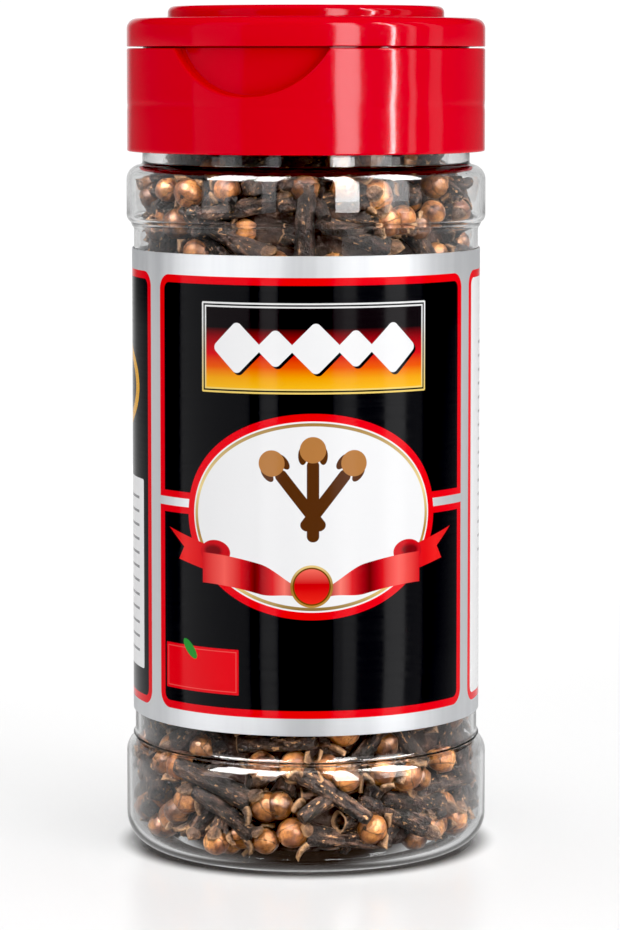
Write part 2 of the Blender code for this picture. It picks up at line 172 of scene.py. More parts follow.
def objectPlace(material):
    return addNode(material.node_tree, "ShaderNodeTexCoord", {}, "Object")


def bump(surface, height, distance, strength):
    inputs = {"Strength": strength, "Distance": distance, "Height": height}
    feed(surface["Normal"], addNode(height.tree, "ShaderNodeBump", inputs))


# small helpers for meshes
def addPiece(name, mesh, material=None):
    obj = bpy.data.objects.new(name, mesh)
    bpy.context.scene.collection.objects.link(obj)
    if material:
        mesh.materials.clear()
        mesh.materials.append(material)
    return obj


def freeze(obj):  # modifiers become plain mesh
    graph = bpy.context.evaluated_depsgraph_get()
    mesh = bpy.data.meshes.new_from_object(obj.evaluated_get(graph), depsgraph=graph)
    obj.modifiers.clear()
    old = obj.data
    obj.data = mesh
    bpy.data.meshes.remove(old)
    return obj


def dropTools(*tools):
    for tool in tools:
        bpy.data.objects.remove(tool)


def shadeMesh(mesh, sharp):
    mesh.shade_smooth()
    mesh.set_sharp_from_angle(angle=math.radians(sharp))


def tidyMesh(mesh, merge=1e-7, sharp=32):
    bm = bmesh.new()
    bm.from_mesh(mesh)
    bmesh.ops.remove_doubles(bm, verts=bm.verts, dist=merge)
    bmesh.ops.dissolve_degenerate(bm, edges=bm.edges, dist=merge)
    bmesh.ops.recalc_face_normals(bm, faces=bm.faces)
    bm.to_mesh(mesh)
    bm.free()
    shadeMesh(mesh, sharp)


def solid(name, points, faces, material=None):  # a closed mesh, its faces turned outward
    bm = bmesh.new()
    corners = [bm.verts.new(point) for point in points]
    for face in faces:
        bm.faces.new([corners[i] for i in face])
    bmesh.ops.recalc_face_normals(bm, faces=bm.faces)
    mesh = bpy.data.meshes.new(name)
    bm.to_mesh(mesh)
    bm.free()
    return addPiece(name, mesh, material)


def loft(name, rings, material=None):  # closed solid through rings of points
    count = len(rings[0])
    last = (len(rings) - 1) * count
    faces = [tuple(reversed(range(count))), tuple(range(last, last + count))]
    for base in range(0, last, count):
        for i in range(count):
            j = (i + 1) % count
            faces.append((base + i, base + j, base + count + j, base + count + i))
    return solid(name, [point for ring in rings for point in ring], faces, material)


def prism(name, outline, bottom, top):  # closed solid from a flat outline, given anticlockwise
    return loft(name, [[(x, y, z) for x, y in outline] for z in (bottom, top)])


def boxTool(name, lowCorner, highCorner, rounding):
    (x0, y0, z0), (x1, y1, z1) = lowCorner, highCorner
    obj = prism(name, [(x0, y0), (x1, y0), (x1, y1), (x0, y1)], z0, z1)
    bevel = obj.modifiers.new("Round", "BEVEL")
    bevel.width = rounding
    bevel.segments = 3
    return freeze(obj)


def halfDisc(name, radius, edgeY, bottom, top, steps=64):
    reach = math.acos(-edgeY / radius)
    turns = [-math.pi / 2 - reach + 2 * reach * i / steps for i in range(steps + 1)]
    return prism(name, [(radius * math.cos(t), radius * math.sin(t)) for t in turns], bottom, top)


def cut(obj, operation, tool):
    modifier = obj.modifiers.new("Cut", "BOOLEAN")
    modifier.operation = operation
    modifier.object = tool
    modifier.solver = "EXACT"


def arcPoints(centreR, centreZ, radius, start, end, steps):
    angles = [math.radians(start + (end - start) * i / steps) for i in range(steps + 1)]
    return [(centreR + radius * math.cos(a), centreZ + radius * math.sin(a)) for a in angles]


def outline(*parts):  # points (r, z), and arcs as (centre r, centre z, radius, start, end, steps)
    line = []
    for part in parts:
        line += arcPoints(*part) if len(part) > 2 else [part]
    return line


# small helpers for Geometry Nodes
def newTree(name, inputs):
    tree = bpy.data.node_groups.new(name, "GeometryNodeTree")
    inputs = {"Geometry": "Geometry", **inputs}
    for label, kind in inputs.items():
        tree.interface.new_socket(label, in_out="INPUT", socket_type=f"NodeSocket{kind}")
    tree.interface.new_socket("Geometry", in_out="OUTPUT", socket_type="NodeSocketGeometry")
    start = tree.nodes.new("NodeGroupInput")
    return tree, {label: Field(start.outputs[label]) for label in inputs}


def endTree(tree, geometry, finish):
    real = addNode(tree, "GeometryNodeRealizeInstances", {"Geometry": geometry})
    painted = addNode(tree, "GeometryNodeSetMaterial", {"Geometry": real, "Material": finish})
    feed(tree.nodes.new("NodeGroupOutput").inputs["Geometry"], painted)
    return tree


def runTree(obj, tree, values):  # the modifier's inputs go by their sockets' identifiers
    modifier = obj.modifiers.new(tree.name, "NODES")
    modifier.node_group = tree
    for item in tree.interface.items_tree:
        if item.in_out == "INPUT" and item.name in values:
            modifier[item.identifier] = values[item.name]
    return freeze(obj)


def turnTree():  # sweeps the profile that the object holds round the Z axis
    tree, given = newTree("turnProfile", {"Segments": "Int", "Merge": "Float", "Finish": "Material"})
    profile = addNode(tree, "GeometryNodeMeshToCurve", {"Mesh": given["Geometry"]})
    circle = {"Resolution": given["Segments"], "Radius": pathRadius}
    path = addNode(tree, "GeometryNodeCurvePrimitiveCircle", circle)
    sweep = addNode(tree, "GeometryNodeCurveToMesh", {"Curve": path, "Profile Curve": profile})
    merge = addNode(tree, "GeometryNodeMergeByDistance", {"Geometry": sweep, "Distance": given["Merge"]})
    return endTree(tree, merge, given["Finish"])


pathRadius = 0.03
turning = turnTree()


def turned(name, profile, material, segments, ring=False):
    # the profile stands on a circular path, so its x is counted from the path's radius and its z runs down
    mesh = bpy.data.meshes.new(name)
    edges = [(i, i + 1) for i in range(len(profile) - 1)]
    if ring:
        edges.append((len(profile) - 1, 0))
    mesh.from_pydata([(r - pathRadius, -z, 0.0) for r, z in profile], edges, [])
    obj = addPiece(name, mesh, material)
    runTree(obj, turning, {"Segments": segments, "Merge": 1e-6, "Finish": material})
    tidyMesh(obj.data)
    return obj


# clear jar
jarSizes = {
    "segments": 224,
    "bandRadius": 22.8,
    "bodyRadius": 21.68,
    "upperBandRadius": 22.6,
    "collarRadius": 20.6,
    "neckRadius": 19.35,
    "mouthRadius": 18.0,
    "wall": 0.55,
    "baseThickness": 0.7,
    "pushUp": 1.6,
    "pushUpRadius": 14.0,
    "pushUpEdge": (0.8, 0.25),
    "gate": ((2.2, 0.0), (1.6, 0.35), (0.0, 0.4)),  # the moulding gate under the base, by radius and depth
    "footInner": 17.4,
    "footOuter": 19.0,
    "footCorner": 3.8,
    "footRound": 0.4,
    "bandTop": 11.6,
    "bandShoulder": 2.3,
    "bodyBottom": 14.35,
    "bodyEnd": 0.1,  # how far the round corners of the label's recess reach in from its ends
    "bottomFillet": 0.5,
    "topFillet": 0.6,
    "innerBottomFillet": 1.2,
    "innerTopFillet": 1.4,
    "upperShoulder": 1.1,
    "bodyTop": 78.0,
    "upperBandBottom": 79.8,
    "upperBandTop": 84.15,
    "shoulderRound": 1.9,
    "shoulderFillet": 0.35,
    "neckStart": 1.75,
    "neckFillet": 0.5,
    "collarTop": 88.2,
    "mouthTop": 97.6,
    "lipRound": 0.3,
}
jar = metres(jarSizes)


def clearPlastic():
    material, surface = startMaterial("clearBottlePlastic")
    place = objectPlace(material)
    haze = remap(noise(place, 900.0, 2.0), 0.3, 0.8, 0.0, 0.012)
    feedAll(surface, {"Base Color": (0.985, 0.99, 0.99, 1.0), "Roughness": haze})
    feedAll(surface, {"Transmission Weight": 1.0, "IOR": 1.42})
    flow = noise(place, 110.0, 2.0, stretch=(1.0, 1.0, 0.25))  # slight waves left by the blow moulding
    bump(surface, flow, 0.00003, 0.4)
    return material


def jarOuterLine(s):
    lip, fillet, mouth = s.lipRound, s.shoulderFillet, s.mouthTop - s.lipRound
    shoulder = s.upperBandTop + s.shoulderRound + fillet
    wide, deep = s.pushUpEdge
    return outline(
        (s.mouthRadius, mouth),
        (s.mouthRadius + lip, mouth, lip, 180, 90, 3),
        (s.neckRadius - lip, mouth, lip, 90, 0, 3),
        (s.neckRadius, s.collarTop),
        (s.collarRadius - lip, s.collarTop - lip, lip, 90, 0, 3),
        (s.collarRadius, shoulder),
        (s.collarRadius + fillet, shoulder, fillet, 190, 262, 4),
        (s.upperBandRadius - s.shoulderRound, s.upperBandTop, s.shoulderRound, 76, 0, 14),
        (s.upperBandRadius - s.upperShoulder, s.upperBandBottom, s.upperShoulder, 0, -58, 10),
        (s.bodyRadius + s.topFillet, s.bodyTop - s.bodyEnd, s.topFillet, 130, 180, 6),
        (s.bodyRadius + s.bottomFillet, s.bodyBottom + s.bodyEnd, s.bottomFillet, 180, 242, 6),
        (s.bandRadius - s.bandShoulder, s.bandTop, s.bandShoulder, 66, 0, 18),
        (s.footOuter, s.footCorner, s.footCorner, 0, -90, 20),
        (s.footInner, s.footRound, s.footRound, -90, -150, 4),
        (s.pushUpRadius + wide, s.pushUp - deep),
        (s.pushUpRadius, s.pushUp),
        (s.pushUpRadius * 0.5, s.pushUp),
        *((radius, s.pushUp - depth) for radius, depth in s.gate),
    )


def jarInnerLine(s):
    floor, corner, inner = s.pushUp + s.baseThickness, s.footCorner - s.wall, s.bodyRadius - s.wall
    low, high, neck = s.innerBottomFillet, s.innerTopFillet, s.neckFillet
    band, upper, shoulder = s.bandShoulder - s.wall, s.upperShoulder - s.wall, s.shoulderRound - s.wall
    return outline(
        (0.0, floor),
        (s.pushUpRadius * 0.6, floor),
        (s.pushUpRadius, floor),
        (s.footInner + s.footRound, s.baseThickness),
        (s.footOuter, s.baseThickness + corner, corner, -70, 0, 12),
        (s.bandRadius - s.bandShoulder, s.bandTop, band, 0, 62, 12),
        (inner + low, s.bodyBottom + 2 * s.bodyEnd, low, 238, 180, 8),
        (inner + high, s.bodyTop - s.bodyEnd, high, 180, 138, 8),
        (s.upperBandRadius - s.upperShoulder, s.upperBandBottom, upper, -58, 0, 4),
        (s.upperBandRadius - s.shoulderRound, s.upperBandTop, shoulder, 0, 80, 10),
        (s.mouthRadius + neck, s.upperBandTop + s.neckStart, neck, 255, 180, 6),
    )


jarShell = turned("jarShell", jarInnerLine(jar) + jarOuterLine(jar), clearPlastic(), jar.segments)
print("stage 2: jar", len(jarShell.data.polygons), "faces")


# printed label
labelSizes = {"gap": 0.1, "thickness": 0.15, "bottom": 17.25, "top": 75.6, "turn": 0.05}
sleeve = metres(labelSizes)
printSizes = {  # in millimetres on the unrolled label: u runs round the jar, v up it
    "radius": 21.93,
    "edgeBlur": 0.05,
    "panelHalf": 22.15,
    "panelTop": 73.0,
    "panelBottom": 19.4,
    "redLine": 0.95,
    "corner": 1.9,
    "bandAt": 45.1,
    "bandHalf": 0.52,
    "sideInner": 24.4,
    "sideOuter": 67.4,
    "ovalAt": (-0.3, 44.05),
    "ovalHalf": (16.5, 12.55),
    "bannerAt": (0.05, 64.45),
    "bannerHalf": (14.65, 5.5, 0.2),
    "lozengeStep": 4.9,
    "lozengeHalf": (2.35, 1.75),
    "lozengeCorner": 0.7,
    "ribbonMiddle": -0.35,
    "ribbonAt": 34.15,
    "ribbonEnd": 14.2,
    "tailAt": 39.7,
    "tailInner": 12.6,
    "tailOuter": 17.2,
    "buttonAt": (-0.45, 35.6),
    "buttonHalf": 2.6,
    "badgeAt": (-15.2, 24.8),
    "badgeHalf": (5.65, 2.8, 0.1),
    "badgeLeafAt": (-16.6, 27.2, -48),
    "notesAt": 35.2,
    "barStep": 1.75,
}
# the three cloves in the oval: place, way in degrees, stem's length
printedCloves = ((-4.6, 49.6, 128, 9.0), (4.0, 49.6, 52, 9.0), (-0.3, 51.0, 90, 10.0))
labelInks = {
    "red": (0.80, 0.003, 0.010),
    "black": (0.004, 0.004, 0.005),
    "white": (0.86, 0.86, 0.87),
    "amber": (0.84, 0.42, 0.02),
    "stem": (0.10, 0.035, 0.014),
    "bud": (0.46, 0.20, 0.06),
    "leaf": (0.02, 0.28, 0.03),
    "grey": (0.25, 0.25, 0.26),
    "badgeLine": (0.90, 0.25, 0.22),
    "fold": (0.60, 0.004, 0.01),
    "curl": (0.20, 0.002, 0.005),
    "buttonLine": (0.16, 0.06, 0.01),
    "darkSilver": (0.63, 0.64, 0.66),
    "lightSilver": (0.71, 0.72, 0.735),
}
# colours that change along u or v: from where, to where, and the stops between
labelShades = {
    "bannerEdge": (59.0, 69.9, (0.0, 0.85, 0.62, 0.16), (0.45, 0.72, 0.62, 0.42), (0.8, 0.8, 0.8, 0.8)),
    "banner": (
        *(59.4, 69.5, (0.0, 0.90, 0.50, 0.02), (0.14, 0.86, 0.36, 0.01), (0.27, 0.80, 0.10, 0.005)),
        *((0.42, 0.66, 0.006, 0.01), (0.58, 0.36, 0.004, 0.008), (0.74, 0.006, 0.004, 0.005)),
    ),
    "goldLine": (
        *(32.0, 56.5, (0.0, 0.10, 0.045, 0.01), (0.12, 0.75, 0.52, 0.18)),
        *((0.4, 0.42, 0.22, 0.04), (0.62, 0.85, 0.66, 0.30), (1.0, 0.30, 0.15, 0.03)),
    ),
    "tail": (
        *(12.5, 19.8, (0.0, 0.25, 0.002, 0.006), (0.25, 0.70, 0.006, 0.01)),
        *((0.6, 0.84, 0.02, 0.02), (1.0, 0.72, 0.01, 0.012)),
    ),
    "ribbon": (
        *(0.0, 14.2, (0.12, 0.30, 0.003, 0.006), (0.24, 0.90, 0.20, 0.16), (0.34, 0.70, 0.01, 0.015)),
        *((0.50, 0.14, 0.001, 0.004), (0.62, 0.66, 0.006, 0.012)),
        *((0.78, 0.92, 0.12, 0.10), (1.0, 0.66, 0.006, 0.012)),
    ),
    "buttonRim": (33.0, 38.2, (0.0, 0.50, 0.26, 0.05), (0.5, 0.34, 0.17, 0.03), (1.0, 0.80, 0.60, 0.24)),
    "button": (33.4, 37.8, (0.0, 0.86, 0.03, 0.02), (0.55, 0.60, 0.006, 0.01), (1.0, 0.90, 0.16, 0.12)),
}


def shadeAlong(value, name):
    low, high, *stops = labelShades[name]
    return ramp(remap(value, low, high), stops)


def boxDistance(at, halfU, halfV, corner=0.0):
    a, b = abs(at[0]) - (halfU - corner), abs(at[1]) - (halfV - corner)
    outA, outB = larger(a, 0.0), larger(b, 0.0)
    outside = calc("SQRT", outA * outA + outB * outB)
    return outside + calc("MINIMUM", larger(a, b), 0.0) - corner


def ovalDistance(at, halfU, halfV):
    def size(a, b):
        return calc("SQRT", a * a + b * b)

    k = size(at[0] / halfU, at[1] / halfV)
    slope = size(at[0] / halfU**2, at[1] / halfV**2)
    return k * (k - 1.0) / larger(slope, 1e-4)


class LabelArt:  # paints flat shapes one over another on the unrolled label
    def __init__(self, place, ground):
        x, y, z = split(place)
        self.u = calc("ARCTAN2", x, y * -1.0) * printSizes["radius"]
        self.v = z * 1000.0
        self.colour = ground
        self.ink = 0.0

    def at(self, u, v, degrees=None):  # coordinates counted from a centre, and turned
        du, dv = self.u - u, self.v - v
        if degrees is None:
            return du, dv
        c, s = math.cos(math.radians(degrees)), math.sin(math.radians(degrees))
        return du * c + dv * s, dv * c - du * s

    def mask(self, distance, blur=printSizes["edgeBlur"]):  # 1 inside, 0 outside
        return calc("MULTIPLY_ADD", distance, -1.0 / blur, 0.5, clamp=True)

    def paint(self, mask, colour):
        if isinstance(colour, str):
            colour = labelInks[colour]
        self.colour = blendColour(mask, self.colour, colour)
        self.ink = larger(self.ink, mask)

    def bare(self, mask, ground):  # the bare film shows again
        self.colour = blendColour(mask, self.colour, ground)
        self.ink = self.ink * (1.0 - mask)

    def fill(self, distance, *layers):  # each layer is an inset from the edge and what it is painted with
        for inset, colour in layers:
            self.paint(self.mask(distance + inset), colour)

    def clove(self, u, v, degrees, length):  # a plain clove bud: stem, two leaves, round head
        along, across = self.at(u, v, degrees)
        self.fill(boxDistance((along + length / 2, across), length / 2, 0.75, 0.7), (0.0, "stem"))
        for side in (-1, 1):
            self.fill(ovalDistance((along - 0.5, across - 1.25 * side), 1.1, 0.55), (0.0, "stem"))
        self.fill(ovalDistance((along - 1.2, across), 1.6, 1.6), (0.0, "bud"))


def paintPanel(art, p, silver, oval):  # front panel: red line, black field, and the silver band that parts it
    middle, half = (p.panelTop + p.panelBottom) / 2, (p.panelTop - p.panelBottom) / 2
    panel = boxDistance(art.at(0.0, middle), p.panelHalf, half, p.corner)
    band = abs(art.v - p.bandAt) - p.bandHalf
    field = larger(larger(panel + p.redLine, p.redLine * 0.85 - band), 0.0 - oval)
    art.fill(panel, (0.0, "red"))
    art.fill(field, (0.0, "black"))
    art.bare(art.mask(band), silver)


def paintBanner(art, p):  # banner with a plain gradient, a double line and a row of plain lozenges
    banner = boxDistance(art.at(*p.bannerAt), *p.bannerHalf)
    edge, glow = shadeAlong(art.v, "bannerEdge"), shadeAlong(art.v, "banner")
    art.fill(banner, (0.0, edge), (0.22, "black"), (0.42, edge), (0.62, glow))
    u, v = p.bannerAt
    for shade, shift in (("black", 0.28), ("white", 0.0)):
        for i in range(-2, 3):
            size = p.lozengeHalf[i % 2]
            place = art.at(u + i * p.lozengeStep + shift, v - shift, 45)
            art.fill(boxDistance(place, size, size, p.lozengeCorner), (0.0, shade))


def paintRibbon(art, p):  # ribbon with two forked tails, and the button on it
    side = abs(art.u - p.ribbonMiddle)
    notch = larger((art.v - p.tailAt) * 1.2, (p.tailAt - art.v) * 0.57)
    tail = larger(side - (notch + p.tailOuter), p.tailInner - side)
    tail = larger(tail, art.v - remap(side, 13.0, 19.8, 40.1, 41.9))
    tail = larger(tail, remap(side, 14.0, 18.3, 37.2, 38.2) - art.v)
    art.fill(tail, (0.0, shadeAlong(side, "tail")))
    art.fill(ovalDistance((side - 12.4, art.v - 39.4), 2.1, 1.5), (0.0, "fold"))
    art.paint(art.mask(ovalDistance((side - 12.7, art.v - 39.6), 1.2, 0.7), 0.5), "curl")
    bow = side * 0.45 - side * side * 0.0155 + p.ribbonAt
    width = remap(side, 1.5, 6.5, 0.6, 1.85, smooth=True)
    ribbon = larger(abs(art.v - bow) - width, side - p.ribbonEnd)
    art.fill(ribbon, (0.0, shadeAlong(side, "ribbon")))
    button = ovalDistance(art.at(*p.buttonAt), p.buttonHalf, p.buttonHalf)
    rim, face = shadeAlong(art.v, "buttonRim"), shadeAlong(art.v, "button")
    art.fill(button, (0.0, rim), (0.28, "buttonLine"), (0.46, face))


def paintSides(art, p):  # side panels: dark with a pale notes box on the left, pale on the right
    middle, half = (p.panelTop + p.panelBottom) / 2 - 0.1, (p.panelTop - p.panelBottom) / 2 + 0.2
    span, centre = (p.sideOuter - p.sideInner) / 2, (p.sideOuter + p.sideInner) / 2
    for u, inside in ((-centre, "black"), (centre, "white")):
        art.fill(boxDistance(art.at(u, middle), span, half, p.corner), (0.0, "red"), (p.redLine, inside))
    art.fill(boxDistance(art.at(-centre, p.notesAt), span - 2.4, 11.9, 0.3), (0.0, "white"))
    ring = art.at(8.0 - centre, 58.5)
    art.fill(ovalDistance(ring, 9.5, 5.6), (0.0, "amber"))
    art.fill(ovalDistance(ring, 7.9, 4.2), (0.0, "black"))
    bars = calc("LESS_THAN", abs(calc("FRACT", art.v / p.barStep) - 0.5), 0.1)
    for u, v, halfU, halfV in ((-centre, p.notesAt, span - 4.2, 10.4), (centre, 51.0, span - 5.0, 14.5)):
        art.paint(bars * art.mask(boxDistance(art.at(u, v), halfU, halfV)), "grey")


def labelFilm():
    p = SimpleNamespace(**printSizes)
    material, surface = startMaterial("printedFilm")
    place = objectPlace(material)
    brushed = noise(place, 60.0, 3.0, 0.6, stretch=(6.0, 6.0, 0.12))
    silver = blendColour(remap(brushed, 0.3, 0.7), labelInks["darkSilver"], labelInks["lightSilver"])
    art = LabelArt(place, silver)
    oval = ovalDistance(art.at(*p.ovalAt), *p.ovalHalf)
    paintPanel(art, p, silver, oval)
    paintBanner(art, p)
    # oval: red ring, white and gold lines, pale field with three plain clove buds
    art.fill(oval, (0.0, "red"), (0.92, "white"), (1.12, shadeAlong(art.v, "goldLine")), (1.52, "white"))
    for clove in printedCloves:
        art.clove(*clove)
    paintRibbon(art, p)
    # small red badge with a green leaf
    badge = boxDistance(art.at(*p.badgeAt), *p.badgeHalf)
    art.fill(badge, (0.0, "red"))
    art.paint(art.mask(abs(badge + 0.35), 0.16), "badgeLine")
    art.fill(ovalDistance(art.at(*p.badgeLeafAt), 1.5, 0.62), (0.0, "leaf"))
    paintSides(art, p)
    grain = noise(place, 300.0, 2.0, 0.5, stretch=(0.3, 0.3, 9.0))
    filmRough, inkRough = remap(brushed, 0.3, 0.7, 0.38, 0.48), remap(grain, 0.3, 0.7, 0.08, 0.17)
    rough = blendValue(art.ink, filmRough, inkRough)
    feedAll(surface, {"Base Color": art.colour, "Metallic": (1.0 - art.ink) * 0.55, "Roughness": rough})
    feed(surface["Specular IOR Level"], 0.1)
    bump(surface, grain, 0.00002, 0.5)
    return material


def buildLabel(s):
    inner = jar.bodyRadius + s.gap
    outer = inner + s.thickness
    profile = outline(
        (inner, s.bottom),
        (inner, s.top),
        (outer - s.turn, s.top - s.turn, s.turn, 90, 0, 3),
        *((outer, s.bottom + (s.top - s.bottom) * i / 6) for i in range(5, 0, -1)),
        (outer - s.turn, s.bottom + s.turn, s.turn, 0, -90, 3),
    )
    return turned("labelWrap", profile, labelFilm(), 256, ring=True)


labelWrap = buildLabel(sleeve)
print("stage 3: label", len(labelWrap.data.polygons), "faces")


# red cap and lid
capSizes = {
    "segments": 224,
    "radius": 22.5,
    "bottom": 87.7,
    "top": 100.56,
    "edge": 0.2,
    "skirtInner": 21.5,
    "skirtGapTop": 94.0,
    "innerSkirt": (19.7, 20.7),
    "innerSkirtBottom": 88.7,
    "deck": (98.0, 99.4),
    "seat": (19.4, 20.5),
    "seatTop": 101.6,
    "seatFillet": 0.3,
    "openingRadius": 15.5,
    "openingEdge": -2.0,
    "notchColumns": 96,
    "notchRoof": 0.8,
    "notchCircle": 12.1,
    "notchBottom": 94.7,
    "notchFloor": 20.95,
    "sinkMark": 0.05,
    "sinkAt": 93.4,
    "sinkWidth": 0.45,
}
lidSizes = {
    "bottom": 100.76,
    "top": 104.3,
    "round": 1.3,
    "edge": 0.12,
    "wall": 1.2,
    "corner": 0.3,
    "panelRadius": 17.35,
    "panelTop": 105.8,
    "panelRound": 0.8,
    "plugClearance": 0.4,
    "plugWall": 0.9,
    "plugBottom": 98.7,
    "sunk": 0.4,
}
hingeSizes = {
    "y": 22.6,
    "half": 4.5,
    "depth": 1.6,
    "height": 1.5,
    "leafRound": 0.15,
    "leafGap": 0.001,
    "strap": 0.13,
    "strapNarrower": 0.4,
    "strapHeight": 2.3,
    "strapRows": 16,
    "strapSunk": 0.02,
    "foldThinner": 0.07,
    "foldReach": 0.5,
}
cap, lid, hinge = metres(capSizes), metres(lidSizes), metres(hingeSizes)
redShade = (0.70, 0.002, 0.016)


def redPlastic(name):
    material, surface = startMaterial(name)
    place = objectPlace(material)
    cloud = remap(noise(place, 45.0, 2.0), 0.35, 0.65)
    flow = noise(place, 70.0, 2.0, stretch=(1.0, 1.0, 0.8))
    fine = noise(place, 2600.0, 2.0)
    colour = blendColour(cloud, tuple(c * 0.95 for c in redShade), redShade)
    rough = remap(fine, 0.3, 0.8, 0.07, 0.16)
    feedAll(surface, {"Base Color": colour, "Roughness": rough, "Specular IOR Level": 0.25})
    bump(surface, flow + fine * 0.012, 0.00035, 0.55)
    return material


def notchCutter(s):
    # a half-moon on the unrolled skirt, lofted from the recess's round floor out through the surface
    levels = (
        (s.notchFloor, -0.45),
        (s.notchFloor + 0.1 * mm, -0.2),
        (s.notchFloor + 0.35 * mm, -0.04),
        (s.radius - 0.32 * mm, 0.0),
        (s.radius - 0.12 * mm, 0.06),
        (s.radius - 0.02 * mm, 0.2),
        (s.radius + 0.25 * mm, 0.6),
    )
    columns, roof, centreZ = s.notchColumns, s.top + s.notchRoof, s.notchBottom + s.notchCircle
    points = []
    faces = []
    for radius, spread in levels:
        circle = s.notchCircle + spread * mm
        reach = math.sqrt(circle**2 - (centreZ - roof) ** 2)
        for i in range(columns + 1):
            x = reach * (2 * (i / columns) - 1)
            z = centreZ - math.sqrt(max(circle**2 - x**2, 0.0))
            a = x / s.radius
            for height in (min(z, roof), roof + 0.4 * mm):
                points.append((radius * math.sin(a), -radius * math.cos(a), height))
    ring = 2 * (columns + 1)
    last = len(points) - ring
    for a in range(0, last, ring):  # each point is below the next one, which is its column's top
        b = a + ring
        for i in range(0, 2 * columns, 2):
            faces.append((a + i, a + i + 2, b + i + 2, b + i))
            faces.append((a + i + 3, a + i + 1, b + i + 1, b + i + 3))
        faces.append((a, b, b + 1, a + 1))
        faces.append((b - 2, b - 1, b + ring - 1, b + ring - 2))
    for base, step in ((0, 1), (last, -1)):
        for i in range(base, base + 2 * columns, 2):
            faces.append((i, i + 1, i + 3, i + 2)[::step])
    return solid("notchCutter", points, faces)


def capProfile(s):
    edge, seatIn, seatOut = s.edge, *s.seat
    deckLow, deckHigh = s.deck
    skirtIn, skirtOut = s.innerSkirt
    foot, top = seatIn - s.seatFillet, s.seatTop - edge
    heights = [s.top - edge + (s.bottom + edge - s.top + edge) * i / 40 for i in range(1, 40)]
    # the outer wall has a faint sink mark over the inner skirt
    sink = [s.sinkMark * math.exp(-(((z - s.sinkAt) / s.sinkWidth) ** 2)) for z in heights]
    return outline(
        (0.0, deckHigh),
        (foot, deckHigh),
        (foot, deckHigh + s.seatFillet, s.seatFillet, -90, 0, 3),
        (seatIn + edge, top, edge, 180, 90, 3),
        (seatOut - edge, top, edge, 90, 0, 3),
        (seatOut, s.top),
        (s.radius - edge, s.top - edge, edge, 90, 0, 4),
        *((s.radius - depth, z) for depth, z in zip(sink, heights)),
        (s.radius - edge, s.bottom + edge, edge, 0, -90, 4),
        (s.skirtInner, s.bottom),
        (s.skirtInner, s.skirtGapTop),
        (skirtOut, s.skirtGapTop),
        (skirtOut, s.innerSkirtBottom),
        (skirtIn, s.innerSkirtBottom),
        (skirtIn, deckLow),
        (0.0, deckLow),
    )


def lidProfile(s, radius):
    under, panelUnder, corner = s.top - s.wall, s.panelTop - s.wall, s.corner
    panelInner, wallInner = s.panelRadius - s.wall, radius - s.wall
    return outline(
        (0.0, s.panelTop),
        (s.panelRadius * 0.5, s.panelTop),
        (s.panelRadius - s.panelRound, s.panelTop - s.panelRound, s.panelRound, 90, 0, 8),
        (s.panelRadius + corner, s.top + corner, corner, 180, 270, 4),
        (radius - s.round, s.top - s.round, s.round, 90, 0, 10),
        (radius - s.edge, s.bottom + s.edge, s.edge, 0, -90, 3),
        (wallInner, s.bottom),
        (wallInner, under - corner),
        (wallInner - corner, under),
        (panelInner, under),
        (panelInner, panelUnder),
        (0.0, panelUnder),
    )


def hingeLeaf(low, high):
    h = hinge
    return boxTool("leaf", (-h.half, h.y - h.depth, low), (h.half, h.y, high), h.leafRound)


def shaped(obj, cuts):  # the cuts are made in their order, and their tools are dropped
    for operation, tool in cuts:
        cut(obj, operation, tool)
    freeze(obj)
    dropTools(*(tool for _, tool in cuts))
    tidyMesh(obj.data, 2e-7, 28)
    return obj


def buildCap(s):
    piece = turned("capBase", capProfile(s), redPlastic("redCapPlastic"), s.segments)
    through = 1.0 * mm
    opening = halfDisc("opening", s.openingRadius, s.openingEdge, s.deck[0] - through, s.deck[1] + through)
    leaf = hingeLeaf(s.top - hinge.height, s.top - hinge.leafGap)
    return shaped(piece, (("UNION", leaf), ("DIFFERENCE", opening), ("DIFFERENCE", notchCutter(s))))


def buildLid(s):
    piece = turned("flipLid", lidProfile(s, cap.radius), redPlastic("redLidPlastic"), cap.segments)
    outer, edge = cap.openingRadius - s.plugClearance, cap.openingEdge - s.plugClearance
    under = s.panelTop - s.wall
    plug = halfDisc("plug", outer, edge, s.plugBottom, under + s.sunk)
    hollow = halfDisc("hollow", outer - s.plugWall, edge - s.plugWall, s.plugBottom - s.sunk, under)
    leaf = hingeLeaf(s.bottom + hinge.leafGap, s.bottom + hinge.height)
    return shaped(piece, (("UNION", plug), ("DIFFERENCE", hollow), ("UNION", leaf)))


def buildStrap(h, fold, material):
    # the thin moulded strap that folds: a sheet over both hinge leaves, thinner at the fold line
    half = h.half - h.strapNarrower
    rings = []
    for i in range(h.strapRows + 1):
        z = fold - h.strapHeight / 2 + h.strapHeight / h.strapRows * i
        thin = 0.5 * (1 + math.cos(math.pi * min(abs(z - fold) / h.foldReach, 1.0)))
        out = h.y + h.strap - h.foldThinner * thin
        back = h.y - h.strapSunk
        rings.append([(x, y, z) for x, y in ((-half, back), (-half, out), (half, out), (half, back))])
    return loft("hingeStrap", rings, material)


capBase = buildCap(cap)
flipLid = buildLid(lid)
foldZ = (cap.top + lid.bottom) / 2
hingeStrap = buildStrap(hinge, foldZ, capBase.data.materials[0])
capPlace = Matrix.Rotation(capTurn, 4, "Z")
for obj in (capBase, flipLid, hingeStrap):
    obj.data.transform(capPlace)
print("stage 4: cap", len(capBase.data.polygons), "lid", len(flipLid.data.polygons), "faces")


